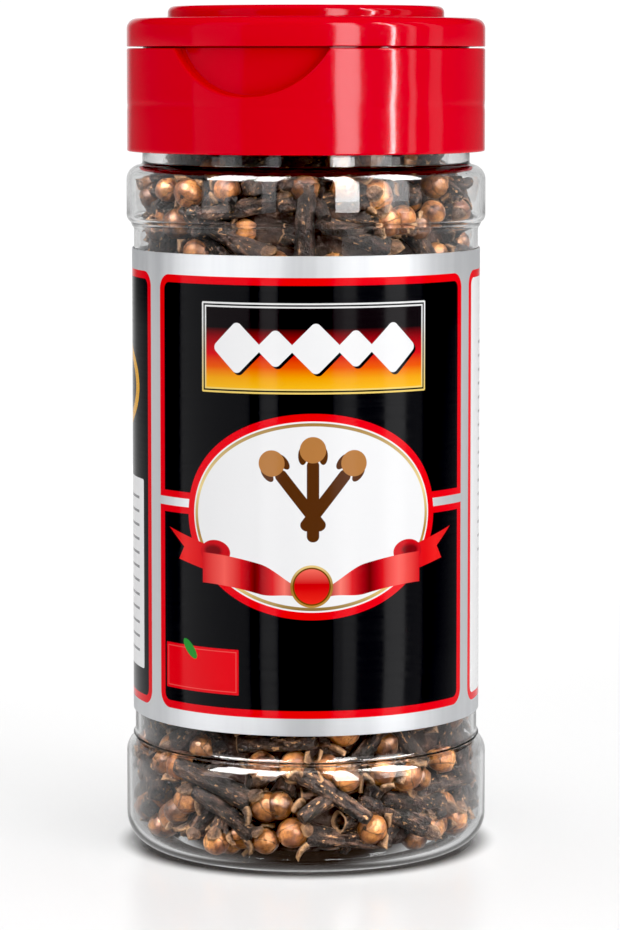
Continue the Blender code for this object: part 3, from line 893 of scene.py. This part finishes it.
# cloves
cloveSizes = {
    "calyx": 10.3,
    "budRadius": 1.88,
    "budCentre": 11.75,
    "ballCentre": 11.7,
    "middle": 6.3,
    "wallClearance": 0.2,
    "meshClearance": 0.12,
    "leftOver": 0.05,
}
clove = metres(cloveSizes)
coreSizes = {
    "segments": 96,
    "radius": 18.3,
    "hiddenRadius": 20.4,
    "hiddenInset": 2.5,  # how far inside the label's edges the wide part stays, and how its ends slope
    "hiddenSlope": 1.5,
    "top": ((0.0, 87.2), (15.8, 87.2), (15.8, 84.7), (18.3, 82.7)),
    "bottom": ((18.3, 3.0), (17.3, 1.9), (14.2, 3.3), (0.0, 3.3)),
}
# a clove as a row of balls: where each is along it, and how thick
ballSizes = ((1.3, 1.2), (3.8, 1.3), (6.3, 1.4), (8.8, 1.6), (11.4, 2.15))
cloveZones = (
    {"seed": 13, "count": 96, "low": 1.3, "high": 20.5, "hollow": 15.6, "hollowTop": 30.0, "settle": 0.03},
    {"seed": 25, "count": 90, "low": 72.5, "high": 90.8, "hollow": 15.6, "hollowTop": 83.0, "settle": 0.012},
)
zones = [vars(metres(zone)) for zone in cloveZones]
# each kind's piece, and its share among the cloves that show; the plain ones lie behind them
cloveKinds = {
    "whole": ("wholeCloves", 0.60),
    "stump": ("openCloves", 0.33),
    "ball": ("looseBuds", 0.07),
    "plain": ("backCloves", 0.0),
}
variants = 3
firstSeed = 3
backSizes = {"inner": 13.5, "outer": 17.0, "low": 3.0, "high": 87.0, "below": 1.0}  # the plain layer behind
# how the heap is made to fit: the cloves drift outward and down in the first steps, by the share "settling"
relaxing = {"steps": 300, "push": 0.34, "outward": 0.02 * mm, "settling": 0.7}


def wallLine(s):  # the jar's inner wall as a few straight pieces, and which way each faces inward
    inner, shoulder, corner = s.bodyRadius - s.wall, s.shoulderRound - s.wall, s.footCorner - s.wall
    points = outline(
        (0.0, s.pushUp + s.baseThickness),
        (s.pushUpRadius, s.pushUp + s.baseThickness),
        (s.footInner + s.footRound, s.baseThickness),
        (s.footOuter, s.baseThickness + corner, corner, -70, 0, 2),
        (s.bandRadius - s.wall, s.bandTop + 0.4 * mm),
        (inner, s.bodyBottom + s.bodyEnd),
        (inner, s.bodyTop - s.bodyEnd),
        (s.upperBandRadius - s.wall, s.upperBandBottom),
        (s.upperBandRadius - s.shoulderRound, s.upperBandTop, shoulder, 0, 90, 1),
        (s.mouthRadius, s.upperBandTop + 1.4 * mm),
        (s.mouthRadius, s.mouthTop),
    )
    line = np.array(points)
    along = np.diff(line, axis=0)
    length = np.linalg.norm(along, axis=1)
    return line[:-1], along, length, np.stack([-along[:, 1], along[:, 0]], axis=1) / length[:, None]


wall = wallLine(jar)


def pushOffWall(points, radius, clearance):
    start, along, length, inward = wall
    span = np.hypot(points[:, 0], points[:, 1]) + 1e-9
    flat = np.stack([span, points[:, 2]], axis=1)
    offset = flat[:, None, :] - start[None, :, :]
    part = np.clip((offset * along).sum(axis=2) / length**2, 0.0, 1.0)
    distance = np.linalg.norm(offset - part[:, :, None] * along, axis=2)
    nearest = distance.argmin(axis=1)
    rows = np.arange(len(points))
    side = inward[nearest]
    depth = np.sign((offset[rows, nearest] * side).sum(axis=1)) * distance[rows, nearest]
    push = np.clip(radius + clearance - depth, 0.0, None)[:, None] * side
    outward = push[:, :1] * points[:, :2] / span[:, None]
    return np.column_stack([outward, push[:, 1]])


def unit(rows):
    return rows / np.linalg.norm(rows, axis=-1, keepdims=True)


def relaxCloves(seed, count, low, high, hollow, hollowTop, settle):
    # cloves as rows of balls, thrown at random into a zone of the jar and pushed apart until they fit
    rng = np.random.default_rng(seed)
    how = SimpleNamespace(**relaxing)
    along, thick = np.array(ballSizes).T * mm
    size = rng.uniform(0.9, 1.08, count)
    turn = rng.uniform(0.0, 2 * math.pi, count)
    height = rng.uniform(low, high, count)
    nearest = np.where(height < hollowTop, hollow + 1 * mm, 0.0)
    reach = np.sqrt(rng.uniform(nearest**2, (jar.bodyRadius - 3 * mm) ** 2))
    middle = np.stack([reach * np.cos(turn), reach * np.sin(turn), height], axis=1)
    axis = unit(rng.normal(size=(count, 3)) * (1.0, 1.0, 0.8))
    offset = (along - along.mean())[None, :] * size[:, None]
    radius = (thick[None, :] * size[:, None]).reshape(-1)
    owner = np.repeat(np.arange(count), len(along))
    other = owner[:, None] != owner[None, :]
    touch = radius[:, None] + radius[None, :]
    for step in range(how.steps):
        balls = (middle[:, None, :] + axis[:, None, :] * offset[:, :, None]).reshape(-1, 3)
        apart = balls[:, None, :] - balls[None, :, :]
        distance = np.sqrt((apart**2).sum(axis=2)) + 1e-9
        push = np.where(other, np.clip(touch - distance, 0.0, None), 0.0) / distance
        balls = balls + how.push * (apart * push[:, :, None]).sum(axis=1)
        balls[:, 2] = np.clip(balls[:, 2], low, high - radius)
        span = np.hypot(balls[:, 0], balls[:, 1]) + 1e-9
        inner = np.where(balls[:, 2] < hollowTop, hollow + radius, 0.0)
        balls[:, :2] *= (np.maximum(span, inner) / span)[:, None]
        balls += pushOffWall(balls, radius, clove.wallClearance)
        balls = balls.reshape(count, len(along), 3)
        middle = balls.mean(axis=1)
        axis = unit(((balls - middle[:, None, :]) * offset[:, :, None]).sum(axis=1))
        if step < how.steps * how.settling:
            middle[:, :2] += np.where(middle[:, 2:] < hollowTop, how.outward, 0.0) * unit(middle[:, :2])
            middle[:, 2] -= settle
    return middle - axis * (along.mean() * size)[:, None], axis, size


def clearOfWall(corners):  # the shift that frees a clove from the wall, and what is left over
    shift = np.zeros(3)
    for _ in range(14):
        moves = pushOffWall(corners + shift, 0.0, clove.meshClearance)
        shift += moves[np.linalg.norm(moves, axis=1).argmax()]
    rest = pushOffWall(corners + shift, 0.0, clove.meshClearance)
    return shift, np.linalg.norm(rest, axis=1).max()


def cloveMesh(name, seed, kind):
    # a wrinkled stem, four thick calyx leaves and a ball of folded petals; the plain kind has few faces
    rng = np.random.default_rng(seed)
    fine = kind != "plain"
    points, faces, part, petal = [], [], [], []

    def grid(rows, columns, place, tone, ends=(True, True), way=None):
        base = len(points)
        for i in range(rows):
            for j in range(columns):
                t, around = i / (rows - 1), j / columns
                points.append(place(t, around))
                part.append(tone(t, around) if callable(tone) else tone)
                petal.append(way(t, around) if way else (0.0, 0.0, -1.0))
        for low in range(base, base + (rows - 1) * columns, columns):
            for j in range(columns):
                k = (j + 1) % columns
                faces.append((low + j, low + k, low + columns + k, low + columns + j))
        if ends[0]:
            faces.append(tuple(base + j for j in reversed(range(columns))))
        if ends[1]:
            faces.append(tuple(base + (rows - 1) * columns + j for j in range(columns)))

    bendX, bendY = rng.uniform(-0.6, 0.6, 2) * mm
    phase = rng.uniform(0, 2 * math.pi, 8)
    girth = rng.uniform(0.9, 1.12)
    shape = [0.82, 1.0, 1.08, 1.16, 1.22, 1.30] if kind == "stump" else [0.80, 1.0, 1.08, 1.16, 1.36, 1.72]

    def stem(t, around):
        z, a = t * clove.calyx, 2 * math.pi * around
        r = np.interp(t, [0.0, 0.04, 0.25, 0.6, 0.85, 1.0], shape) * mm * girth
        if fine:
            r *= 1 + 0.07 * math.cos(4 * a + phase[0]) + 0.04 * math.cos(7 * a + phase[1] + 5 * t)
            wave = 0.05 * math.sin(11 * t + phase[2] + 2 * math.sin(a + phase[3]))
            r *= 1 + wave + 0.035 * math.sin(23 * t + 3 * a + phase[4])
        bent = z / clove.calyx
        return (bendX * bent * bent + r * math.cos(a), bendY * bent * bent + r * math.sin(a), z)

    if kind != "ball":
        grid(19 if fine else 4, 14 if fine else 6, stem, 0.0, (True, kind != "stump"))
    if kind == "stump":  # the bud has dropped off and left an open cup

        def cup(t, around):
            a = 2 * math.pi * around
            r = np.interp(t, [0, 0.15, 0.3, 0.6, 1.0], [1.30, 1.24, 1.02, 0.85, 0.1]) * mm * girth
            r *= 1 + 0.07 * math.cos(4 * a + phase[0])
            z = clove.calyx + np.interp(t, [0, 0.15, 0.3, 0.6, 1.0], [0.0, 0.22, 0.05, -1.2, -1.6]) * mm
            return (bendX + r * math.cos(a), bendY + r * math.sin(a), z)

        grid(7, 14, cup, lambda t, around: 0.5 if t < 0.35 else -0.5, (False, True))
    leaves = {"whole": 4, "stump": int(rng.integers(0, 3)), "ball": 0, "plain": 0}[kind]
    for k in range(leaves):
        turn = math.pi / 2 * k + rng.uniform(-0.15, 0.15) + phase[0] / 4
        flare, long = rng.uniform(0.45, 1.25), rng.uniform(0.85, 1.2)
        start = 1.5 if kind == "whole" else 1.15

        def leaf(t, around):
            a = 2 * math.pi * around
            swell = 0.66 + 0.34 * math.sin(math.pi * min(t * 1.2, 1.0))
            side = (swell * math.sqrt(max(1 - t**3, 0.0)) + 0.03) * math.cos(a) * mm
            thick = 0.50 * (1 - 0.4 * t) * math.sin(a) * mm
            out = (start + (0.55 + flare) * t**1.3 * long) * mm + thick * 0.8
            rise = (0.4 + 1.75 * t - 0.45 * flare * t * t) * long * mm
            out -= 0.18 * mm * math.cos(a) ** 2  # the leaf cups round the bud
            x = bendX + out * math.cos(turn) - side * math.sin(turn)
            y = bendY + out * math.sin(turn) + side * math.cos(turn)
            return (x, y, clove.calyx - 0.55 * mm + rise - thick * 0.6)

        grid(7, 10, leaf, lambda t, around: 0.36 + 0.24 * max(abs(math.cos(2 * math.pi * around)) ** 4, t**4))
    if kind != "stump":
        radius = clove.budRadius * rng.uniform(0.92, 1.04)
        loose = kind == "ball"
        centre = (0.0, 0.0, 0.0) if loose else (bendX, bendY, clove.budCentre + rng.uniform(-0.25, 0.1) * mm)
        lean = rng.uniform(0.92, 1.08, 2)

        def way(t, around):
            polar, a = math.pi * (0.02 + 0.96 * t), 2 * math.pi * around
            return (math.sin(polar) * math.cos(a), math.sin(polar) * math.sin(a), -math.cos(polar))

        def bud(t, around):
            x, y, z = way(t, around)
            lap = 0
            for middle, limit in petals:
                lap += 0.025 * max(sum(a * b for a, b in zip((x, y, z), middle)) - limit, 0.0) ** 0.35
            dent = 0.05 * max(z - 0.93, 0.0) / 0.07
            r = radius * (0.975 + lap - dent + 0.03 * math.sin(5 * x + phase[5]) * math.sin(4 * y + phase[6]))
            return (centre[0] + r * x * lean[0], centre[1] + r * y * lean[1], centre[2] + r * z)

        grid(15 if fine else 6, 22 if fine else 8, bud, 1.0, way=way)
    mesh = bpy.data.meshes.new(name)
    mesh.from_pydata(points, [], faces)
    addValues(mesh, {"clovePart": part, "clovePlace": points, "petalWay": petal})
    bm = bmesh.new()
    bm.from_mesh(mesh)
    bmesh.ops.recalc_face_normals(bm, faces=bm.faces)
    bm.to_mesh(mesh)
    bm.free()
    shadeMesh(mesh, 70)
    return mesh


def addValues(mesh, table, kind="FLOAT"):  # a named value, or a vector, on each point
    for key, values in table.items():
        numbers = np.array(values, dtype=np.int32 if kind == "INT" else np.float32)
        if numbers.ndim == 2:
            mesh.attributes.new(key, "FLOAT_VECTOR", "POINT").data.foreach_set("vector", numbers.reshape(-1))
        else:
            mesh.attributes.new(key, kind, "POINT").data.foreach_set("value", numbers)


# the folded petals, round laps on the bud: each one's tilt, turn and reach in degrees
petalShapes = ((60, 20, 66), (62, 112, 64), (58, 200, 60), (56, 290, 54))


def petalLap(tilt, turn, reach):
    tilt, turn = math.radians(tilt), math.radians(turn)
    middle = (math.sin(tilt) * math.cos(turn), math.sin(tilt) * math.sin(turn), math.cos(tilt))
    return middle, math.cos(math.radians(reach))


petals = [petalLap(*shape) for shape in petalShapes]
cloveShades = {
    "stem": (
        *((0.36, 0.005, 0.003, 0.002), (0.49, 0.024, 0.011, 0.007)),
        *((0.58, 0.080, 0.036, 0.020), (0.68, 0.21, 0.105, 0.055)),
    ),
    "bud": (
        *((0.34, 0.16, 0.056, 0.024), (0.44, 0.38, 0.140, 0.042)),
        *((0.54, 0.62, 0.245, 0.070), (0.66, 0.84, 0.39, 0.13)),
    ),
    "leaf": ((0.35, 0.05, 0.024, 0.013), (0.55, 0.15, 0.070, 0.033), (0.72, 0.30, 0.150, 0.07)),
    "core": ((0.3, 0.006, 0.003, 0.002), (0.55, 0.03, 0.012, 0.006), (0.75, 0.10, 0.042, 0.018)),
}


def cloveSkin(name, paintedShadeFactor=1.0):
    material, surface = startMaterial(name)

    def attribute(key, output):
        return addNode(material.node_tree, "ShaderNodeAttribute", {}, output, attribute_name=key)

    part, tone = attribute("clovePart", "Fac"), attribute("cloveTone", "Fac")
    shift = addNode(material.node_tree, "ShaderNodeCombineXYZ", {"X": tone})
    place = vectorCalc("ADD", (attribute("clovePlace", "Vector"), shift))
    wrinkle = noise(place, 1300.0, 5.0, 0.65, stretch=(1.0, 1.0, 0.3))
    grainy = noise(place, 2400.0, 3.0, 0.6)
    patch = noise(place, 420.0, 4.0, 0.6)
    blush = noise(place, 640.0, 3.0, 0.6)
    # stem: nearly black brown, with short golden flecks where the skin has flaked
    flecks = remap(noise(place, 1700.0, 2.0, 0.6, stretch=(1.3, 1.3, 0.6)), 0.63, 0.68)
    colour = blendColour(flecks * 0.9, ramp(wrinkle, cloveShades["stem"]), (0.62, 0.32, 0.13))
    leafColour = ramp(wrinkle, cloveShades["leaf"])
    leafColour = blendColour(remap(part, 0.42, 0.6, 0.0, 0.85), leafColour, (0.50, 0.27, 0.12))
    colour = blendColour(remap(part, 0.1, 0.3), colour, leafColour)
    # bud: satin golden brown with darker patches, and a dark line of painted shade under each petal's edge
    facing = vectorCalc("NORMALIZE", (attribute("petalWay", "Vector"),))
    upward = vectorCalc("DOT_PRODUCT", (facing, (0.0, 0.0, 1.0)), "Value")
    wobble = (blush - 0.5) * 0.35
    height, line = 0.0, 0.0
    for i, (middle, limit) in enumerate(petals):
        inside = vectorCalc("DOT_PRODUCT", (facing, middle), "Value") - limit + wobble
        cover = calc("MULTIPLY_ADD", inside, 40.0, 0.5, clamp=True)
        beside = 1.0 - cover
        # painted shade: a thin band just outside each petal's edge, where it laps over the one below
        under = remap(inside, -0.08, 0.0) * remap(inside, 0.0, 0.02, 1.0, 0.0)
        line = larger(beside * line, under)
        height = larger(beside * height, cover * (0.4 + 0.2 * i))
    blushed = calc("ADD", remap(blush, 0.46, 0.60, 0.0, 0.7), remap(upward, 0.65, 1.0, 0.0, 0.4), clamp=True)
    budColour = ramp(patch, cloveShades["bud"])
    for factor, shade in (
        (blushed, (0.19, 0.075, 0.050)),
        (remap(grainy, 0.5, 0.75, 0.0, 0.6), (0.09, 0.04, 0.025)),
        (line * remap(grainy, 0.35, 0.6, 0.6, 1.0), (0.035, 0.014, 0.008)),
        # painted shade: a near-black dot in the dimple at the bud's top
        (remap(upward, 0.985, 0.995), (0.02, 0.01, 0.007)),
    ):
        budColour = blendColour(factor, budColour, shade)
    isBud = remap(part, 0.7, 0.95)
    colour = blendColour(isBud, colour, budColour)
    colour = blendColour(remap(part, -0.3, -0.1, 1.0, 0.0), colour, (0.006, 0.004, 0.003))  # the cup's inside, painted near black as shade in the hollow
    # the random tone of each clove, times the painted-shade factor that darkens the whole copy used for the
    # cloves behind
    shade = vectorCalc("SCALE", (colour,))
    feed(shade.socket.node.inputs["Scale"], remap(tone, 0.0, 1.0, 0.55 * paintedShadeFactor, 1.05 * paintedShadeFactor))
    stemRough, budRough = remap(wrinkle, 0.3, 0.7, 0.75, 0.50), remap(patch, 0.3, 0.7, 0.42, 0.24)
    rough = blendValue(isBud, stemRough, budRough)
    feedAll(surface, {"Base Color": shade, "Roughness": rough, "Metallic": isBud * 0.3, "IOR": 1.6})
    bump(surface, blendValue(isBud, wrinkle + grainy * 0.9, height * 0.6 + blush * 0.6), 0.0006, 0.9)
    return material


def cloveTree():  # puts the variants on the heap's points, each with its own turn, size and tone
    models = ("First", "Second", "Third")
    inputs = {**dict.fromkeys(models, "Object"), "Seed": "Int", "Finish": "Material"}
    tree, given = newTree("cloveHeap", inputs)
    join = tree.nodes.new("GeometryNodeJoinGeometry")
    for name in reversed(models):
        model = {"As Instance": True, "Object": given[name]}
        feed(join.inputs["Geometry"], addNode(tree, "GeometryNodeObjectInfo", model, "Geometry"))

    def named(name, kind):
        return addNode(tree, "GeometryNodeInputNamedAttribute", {"Name": name}, "Attribute", data_type=kind)

    heap = {
        "Points": given["Geometry"],
        "Instance": Field(join.outputs[0]),
        "Pick Instance": True,
        "Instance Index": named("variant", "INT"),
        "Rotation": addNode(tree, "FunctionNodeEulerToRotation", {0: named("turn", "FLOAT_VECTOR")}),
        "Scale": named("size", "FLOAT"),
    }
    place = addNode(tree, "GeometryNodeInstanceOnPoints", heap)
    tone = addNode(tree, "FunctionNodeRandomValue", {"Seed": given["Seed"]}, 1)
    toned = {"Geometry": place, "Name": "cloveTone", "Value": tone}
    stored = addNode(tree, "GeometryNodeStoreNamedAttribute", toned, domain="INSTANCE")
    return endTree(tree, stored, given["Finish"])


def placeCloves(name, models, tree, rows, material, seed):
    points, turns, sizes, picks = zip(*rows)
    mesh = bpy.data.meshes.new(name)
    mesh.from_pydata(points, [], [])
    addValues(mesh, {"turn": turns, "size": sizes})
    addValues(mesh, {"variant": picks}, "INT")
    obj = addPiece(name, mesh)
    models = [addPiece(f"{name}Model{i}", model) for i, model in enumerate(models)]
    values = dict(zip(("First", "Second", "Third"), models), Seed=seed, Finish=material)
    runTree(obj, tree, values)
    dropTools(*models)
    obj.data.materials.clear()
    obj.data.materials.append(material)
    return obj


def backPlaces(rng, low, high, count):  # a plain layer behind the cloves that show
    s = SimpleNamespace(**backSizes)
    for _ in range(count):
        a, r = rng.uniform(0, 2 * math.pi), rng.uniform(s.inner, s.outer) * mm
        axis = rng.normal(size=3) * (1, 1, 0.8)
        axis /= np.linalg.norm(axis)
        size = rng.uniform(0.88, 1.05)
        height = rng.uniform(max(low, s.low * mm), min(high, s.high * mm) - s.below * mm)
        middle = np.array([r * math.cos(a), r * math.sin(a), height])
        yield middle - axis * clove.middle * size, axis, size, "plain"


def buildCloves():
    rng = np.random.default_rng(5)
    # the plain cloves behind get a darker copy of the skin: painted shade
    skin, paintedShadeSkin = cloveSkin("driedClove"), cloveSkin("shadedClove", 0.6)
    places = [(*place, "") for zone in zones for place in zip(*relaxCloves(**zone))]
    for zone in zones:
        places += backPlaces(rng, zone["low"], zone["high"], zone["count"])
    models = {}
    for k, kind in enumerate(cloveKinds):
        seeds = range((firstSeed + k) * 10, (firstSeed + k) * 10 + variants)
        models[kind] = [cloveMesh(f"{cloveKinds[kind][0]}Model", seed, kind) for seed in seeds]
    corners = {kind: [np.array([v.co[:] for v in mesh.vertices]) for mesh in models[kind]] for kind in models}
    items = {kind: [] for kind in cloveKinds}
    shown = [kind for kind, (_, share) in cloveKinds.items() if share]
    for start, axis, size, kind in places:
        kind = kind or rng.choice(shown, p=[cloveKinds[kind][1] for kind in shown])
        spin = Matrix.Rotation(rng.uniform(0, 2 * math.pi), 3, "Z")
        turn = Vector(axis).to_track_quat("Z", "Y").to_matrix() @ spin
        if kind == "ball":
            start = start + axis * clove.ballCentre * size
        variant = int(rng.integers(variants))
        shift, left = clearOfWall(corners[kind][variant] @ np.array(turn).T * size + start)
        if left < clove.leftOver:
            items[kind].append((tuple(start + shift), tuple(turn.to_euler()), float(size), variant))
    tree = cloveTree()
    made = []
    for i, (kind, rows) in enumerate(items.items()):
        name, material = cloveKinds[kind][0], paintedShadeSkin if kind == "plain" else skin
        made.append(placeCloves(name, models[kind], tree, rows, material, firstSeed + i))
        triangles = sum(len(face.vertices) - 2 for face in made[-1].data.polygons)
        print("   ", name, len(rows), "pieces", triangles, "triangles")
    return made


def buildCore(s):
    low, high = sleeve.bottom + s.hiddenInset, sleeve.top - s.hiddenInset
    profile = [*s.top, (s.radius, high + s.hiddenSlope), (s.hiddenRadius, high), (s.hiddenRadius, low)]
    profile += [(s.radius, low - s.hiddenSlope), *s.bottom]
    # painted shadow: the core is a near-black lumpy filler in the middle of the heap, standing for the shade
    # between the cloves
    material, surface = startMaterial("cloveShadow")
    lumps = noise(objectPlace(material), 420.0, 5.0, 0.6)
    colour, rough = ramp(lumps, cloveShades["core"]), remap(lumps, 0.3, 0.7, 0.9, 0.6)
    feedAll(surface, {"Base Color": colour, "Roughness": rough})
    bump(surface, lumps, 0.0012, 1.0)
    return turned("heapCore", profile, material, s.segments)


heapCore = buildCore(metres(coreSizes))
clovePieces = buildCloves()
print("stage 5: cloves placed")


# who rides on what
for piece, body, node, slot in (
    (jarShell, "jar", "jar", "clear_plastic"),
    (labelWrap, "jar", "label", "label_film"),
    (capBase, "jar", "cap", "red_cap"),
    (flipLid, "lid", "flip_lid", "red_lid"),
    (heapCore, "jar", "cloves", "dried_cloves"),
    *((piece, "jar", "cloves", "dried_cloves") for piece in clovePieces),
):
    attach(piece, body)
    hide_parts(node)
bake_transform(hingeStrap)
print("stage 6: pieces ride on their bodies")


# floor, light, camera
cameraSizes = {
    "azimuth": -3.0,
    "tilt": 4.6,
    "distance": 0.45,
    "height": 0.09937,
    "lens": 3570.0 * 36.0 / 930.0,
    "shift": (0.0043, -0.129),
}
# boxes of light by which pieces they reach: azimuth from the front, distance, width, height, z, glow per area
lightBoxes = {
    "red": {
        "keyBox": (22.9, 0.9, 0.235, 1.2, 0.42, 10.0),
        "edgeStrip": (53.2, 0.9, 0.042, 1.2, 0.42, 44.0),
        "farStrip": (67.5, 0.9, 0.08, 1.2, 0.42, 2.5),
        "wideRight": (87.0, 0.9, 0.18, 1.2, 0.42, 0.9),
        "redLeft": (-62.0, 0.9, 0.55, 1.2, 0.42, 0.45),
    },
    "film": {
        "filmLeft": (-66.0, 0.9, 0.9, 1.6, 0.3, 1.8),
        "filmMiddle": (-27.0, 0.9, 0.18, 1.6, 0.3, 3.2),
        "filmKey": (22.0, 0.9, 0.24, 1.6, 0.3, 2.0),
        "filmEdge": (57.0, 0.9, 0.24, 1.6, 0.3, 3.2),
        "filmRight": (50.0, 0.9, 1.0, 1.6, 0.3, 0.9),
    },
    "clear": {
        "clearKey": (22.9, 0.9, 0.24, 0.5, 0.27, 15.0),
        "clearRight": (56.0, 0.9, 0.28, 0.5, 0.27, 4.0),
        "clearLeft": (-62.0, 0.9, 0.30, 0.5, 0.27, 1.5),
        "clearMiddle": (-26.0, 0.9, 0.14, 0.5, 0.27, 1.5),
        "highLeft": (-60.0, 0.6, 0.37, 0.5, 0.64, 30.0),
        "highMiddle": (-30.0, 0.6, 0.20, 0.5, 0.64, 30.0),
        "highKey": (23.0, 0.6, 0.175, 0.5, 0.64, 34.0),
        "highRight": (69.0, 0.6, 0.33, 0.5, 0.64, 34.0),
    },
    "soft": {
        "topBox": (10.0, 0.1, 1.0, 1.0, 1.3, 1.8),
        "softKey": (38.0, 0.8, 0.5, 0.9, 0.45, 1.6),
    },
}
reachedPieces = {"red": (capBase, flipLid, hingeStrap), "film": (labelWrap,), "clear": (jarShell,)}
stageSizes = {
    "floorRadius": 0.42,
    "floorShade": 0.90,
    "floorLift": 0.13,  # the floor's own glow near the jar and far from it
    "farLift": 0.35,
    "backGlow": 1.05,  # what shows behind the jar
    "throughGlow": 0.80,  # what shows through its wall
    "insideGlow": 0.10,  # what lights the cloves through it, from all round and from the key side
    "insideKey": 5.5,
    "keyWay": (0.47, -0.67, 0.57),
    "roomGlow": 0.72,  # what lights it from all round
    "blackPoint": 0.012,
}
# the room as the jar mirrors it, above and below the horizon: glow by azimuth in degrees
roomBands = {
    "high": (
        *((-180, 0.9), (-166, 0.6), (-154, 0.15), (-90, 0.15), (-60, 0.06), (-14, 0.04)),
        *((4, 0.05), (40, 0.08), (90, 0.15), (154, 0.15), (166, 0.6), (180, 0.9)),
    ),
    "low": ((-180, 0.7), (-90, 0.5), (-50, 0.02), (50, 0.02), (90, 0.5), (180, 0.7)),
}
studio = SimpleNamespace(**stageSizes)


def buildFloor():
    bm = bmesh.new()
    bmesh.ops.create_circle(bm, cap_ends=True, segments=96, radius=studio.floorRadius)
    mesh = bpy.data.meshes.new("floorSheet")
    bm.to_mesh(mesh)
    bm.free()
    material, surface = startMaterial("paleFloor")
    place = objectPlace(material)
    away = vectorCalc("LENGTH", (place,), "Value")
    # painted contact shadow: the floor's colour turns dark and its glow fades under and just round the jar's
    # foot
    contactShadowFade = remap(away, 20.6 * mm, 24.5 * mm, smooth=True)
    # the floor's painted glow is weaker near the jar than far from it
    lift = remap(away, 0.08, 0.4, studio.floorLift, studio.farLift, smooth=True)
    shade = studio.floorShade
    colour = blendColour(noise(place, 6.0, 2.0), (shade * 0.98,) * 3, (shade,) * 3)
    colour = blendColour(contactShadowFade, (0.06, 0.05, 0.045), colour)
    feedAll(surface, {"Base Color": colour, "Roughness": 0.22, "Specular IOR Level": 0.25})
    feedAll(surface, {"Emission Color": (1.0, 1.0, 1.0, 1.0), "Emission Strength": lift * contactShadowFade})
    floor = addPiece("floorSheet", mesh, material)
    floor.visible_glossy = False  # as with a black flag, the pale floor puts no veil on the clear wall
    floor.visible_transmission = False
    floor.visible_shadow = False
    floor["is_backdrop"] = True


def buildRoom():
    world = bpy.data.worlds.new("studio")
    bpy.context.scene.world = world
    world.use_nodes = True
    tree = world.node_tree
    way = addNode(tree, "ShaderNodeTexCoord", {}, "Generated")
    x, y, z = split(way)
    around = remap(calc("ARCTAN2", x, y * -1.0), -math.pi, math.pi)

    def band(name):
        return ramp(around, [((degrees + 180) / 360, glow, glow, glow) for degrees, glow in roomBands[name]])

    def isRay(name):
        return Field(rays.outputs[name])

    rays = tree.nodes.new("ShaderNodeLightPath")
    mirrored = blendColour(remap(z, -0.2, 0.0, smooth=True), band("low"), band("high"))
    # through the wall: the bright back, a painted shadow below and in the middle for the floor in the jar's
    # own shadow, and the key for what lies inside
    through = blendColour(remap(y, -0.45, 0.25, smooth=True), mirrored, (studio.throughGlow,) * 3)
    below = remap(z, -0.20, -0.07, 1.0, 0.0, smooth=True)
    middle = remap(abs(x), 0.12, 0.38, 1.0, 0.0, smooth=True)
    through = blendColour(below * middle, through, (0.03, 0.022, 0.018))
    lobe = vectorCalc("DOT_PRODUCT", (way, studio.keyWay), "Value")
    inside = remap(lobe, 0.72, 0.92, studio.insideGlow, studio.insideKey, smooth=True)
    through = blendColour(calc("GREATER_THAN", isRay("Diffuse Depth"), 0.5), through, inside)
    above = remap(z, 0.22, 0.42, smooth=True)
    mirrored = blendColour(above, mirrored, (0.015,) * 3)
    colour = blendColour(isRay("Is Glossy Ray"), (studio.roomGlow,) * 3, mirrored)
    colour = blendColour(isRay("Is Transmission Ray"), colour, through)
    colour = blendColour(isRay("Is Camera Ray"), colour, (studio.backGlow,) * 3)
    background = tree.nodes["Background"].inputs
    feed(background["Color"], colour)
    feed(background["Strength"], 1.0)


def receivers(key):
    group = bpy.data.collections.new(f"{key}Receivers")
    for piece in reachedPieces[key]:
        group.objects.link(piece)
    return group


def buildLights():
    for key, boxes in lightBoxes.items():
        group = receivers(key) if key in reachedPieces else None
        for name, (azimuth, distance, wide, tall, z, glow) in boxes.items():
            light = bpy.data.lights.new(name, "AREA")
            light.shape = "RECTANGLE"
            light.size, light.size_y = wide, tall
            light.energy = glow * math.pi * wide * tall
            lamp = addPiece(name, light)
            a = math.radians(azimuth)
            lamp.location = (math.sin(a) * distance, -math.cos(a) * distance, z)
            aim = Vector((0, 0, z if z < 0.5 else 0.05))  # a high box looks down at the foot
            lamp.rotation_euler = (aim - lamp.location).to_track_quat("-Z", "Y").to_euler()
            lamp.visible_diffuse = group is None
            lamp.visible_glossy = group is not None
            if group:
                lamp.light_linking.receiver_collection = group


def setColours():
    view = bpy.context.scene.view_settings
    view.view_transform = "Standard"
    view.look = "None"
    view.exposure = 0.0
    view.use_curve_mapping = True
    view.curve_mapping.black_level = (studio.blackPoint,) * 3
    view.curve_mapping.update()


def buildCamera():
    s = SimpleNamespace(**cameraSizes)
    a, e = math.radians(s.azimuth), math.radians(s.tilt)
    data = bpy.data.cameras.new("shotCamera")
    camera = addPiece("shotCamera", data)
    camera.location = (math.sin(a) * s.distance, -math.cos(a) * s.distance, s.height)
    back = Vector((math.sin(a) * math.cos(e), -math.cos(a) * math.cos(e), math.sin(e)))
    camera.rotation_euler = back.to_track_quat("Z", "Y").to_euler()
    data.lens = s.lens
    data.sensor_width = 36.0
    data.clip_start = 0.01
    data.shift_x, data.shift_y = s.shift
    bpy.context.scene.camera = camera


buildFloor()
buildRoom()
buildLights()
buildCamera()
setColours()
print("stage 7: floor, lights and camera")

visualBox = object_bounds()
asLists = lambda corners: [[float(n) for n in corner] for corner in corners]
'{"cad": %s, "visual": %s}' % (asLists(cadBox), asLists(visualBox))
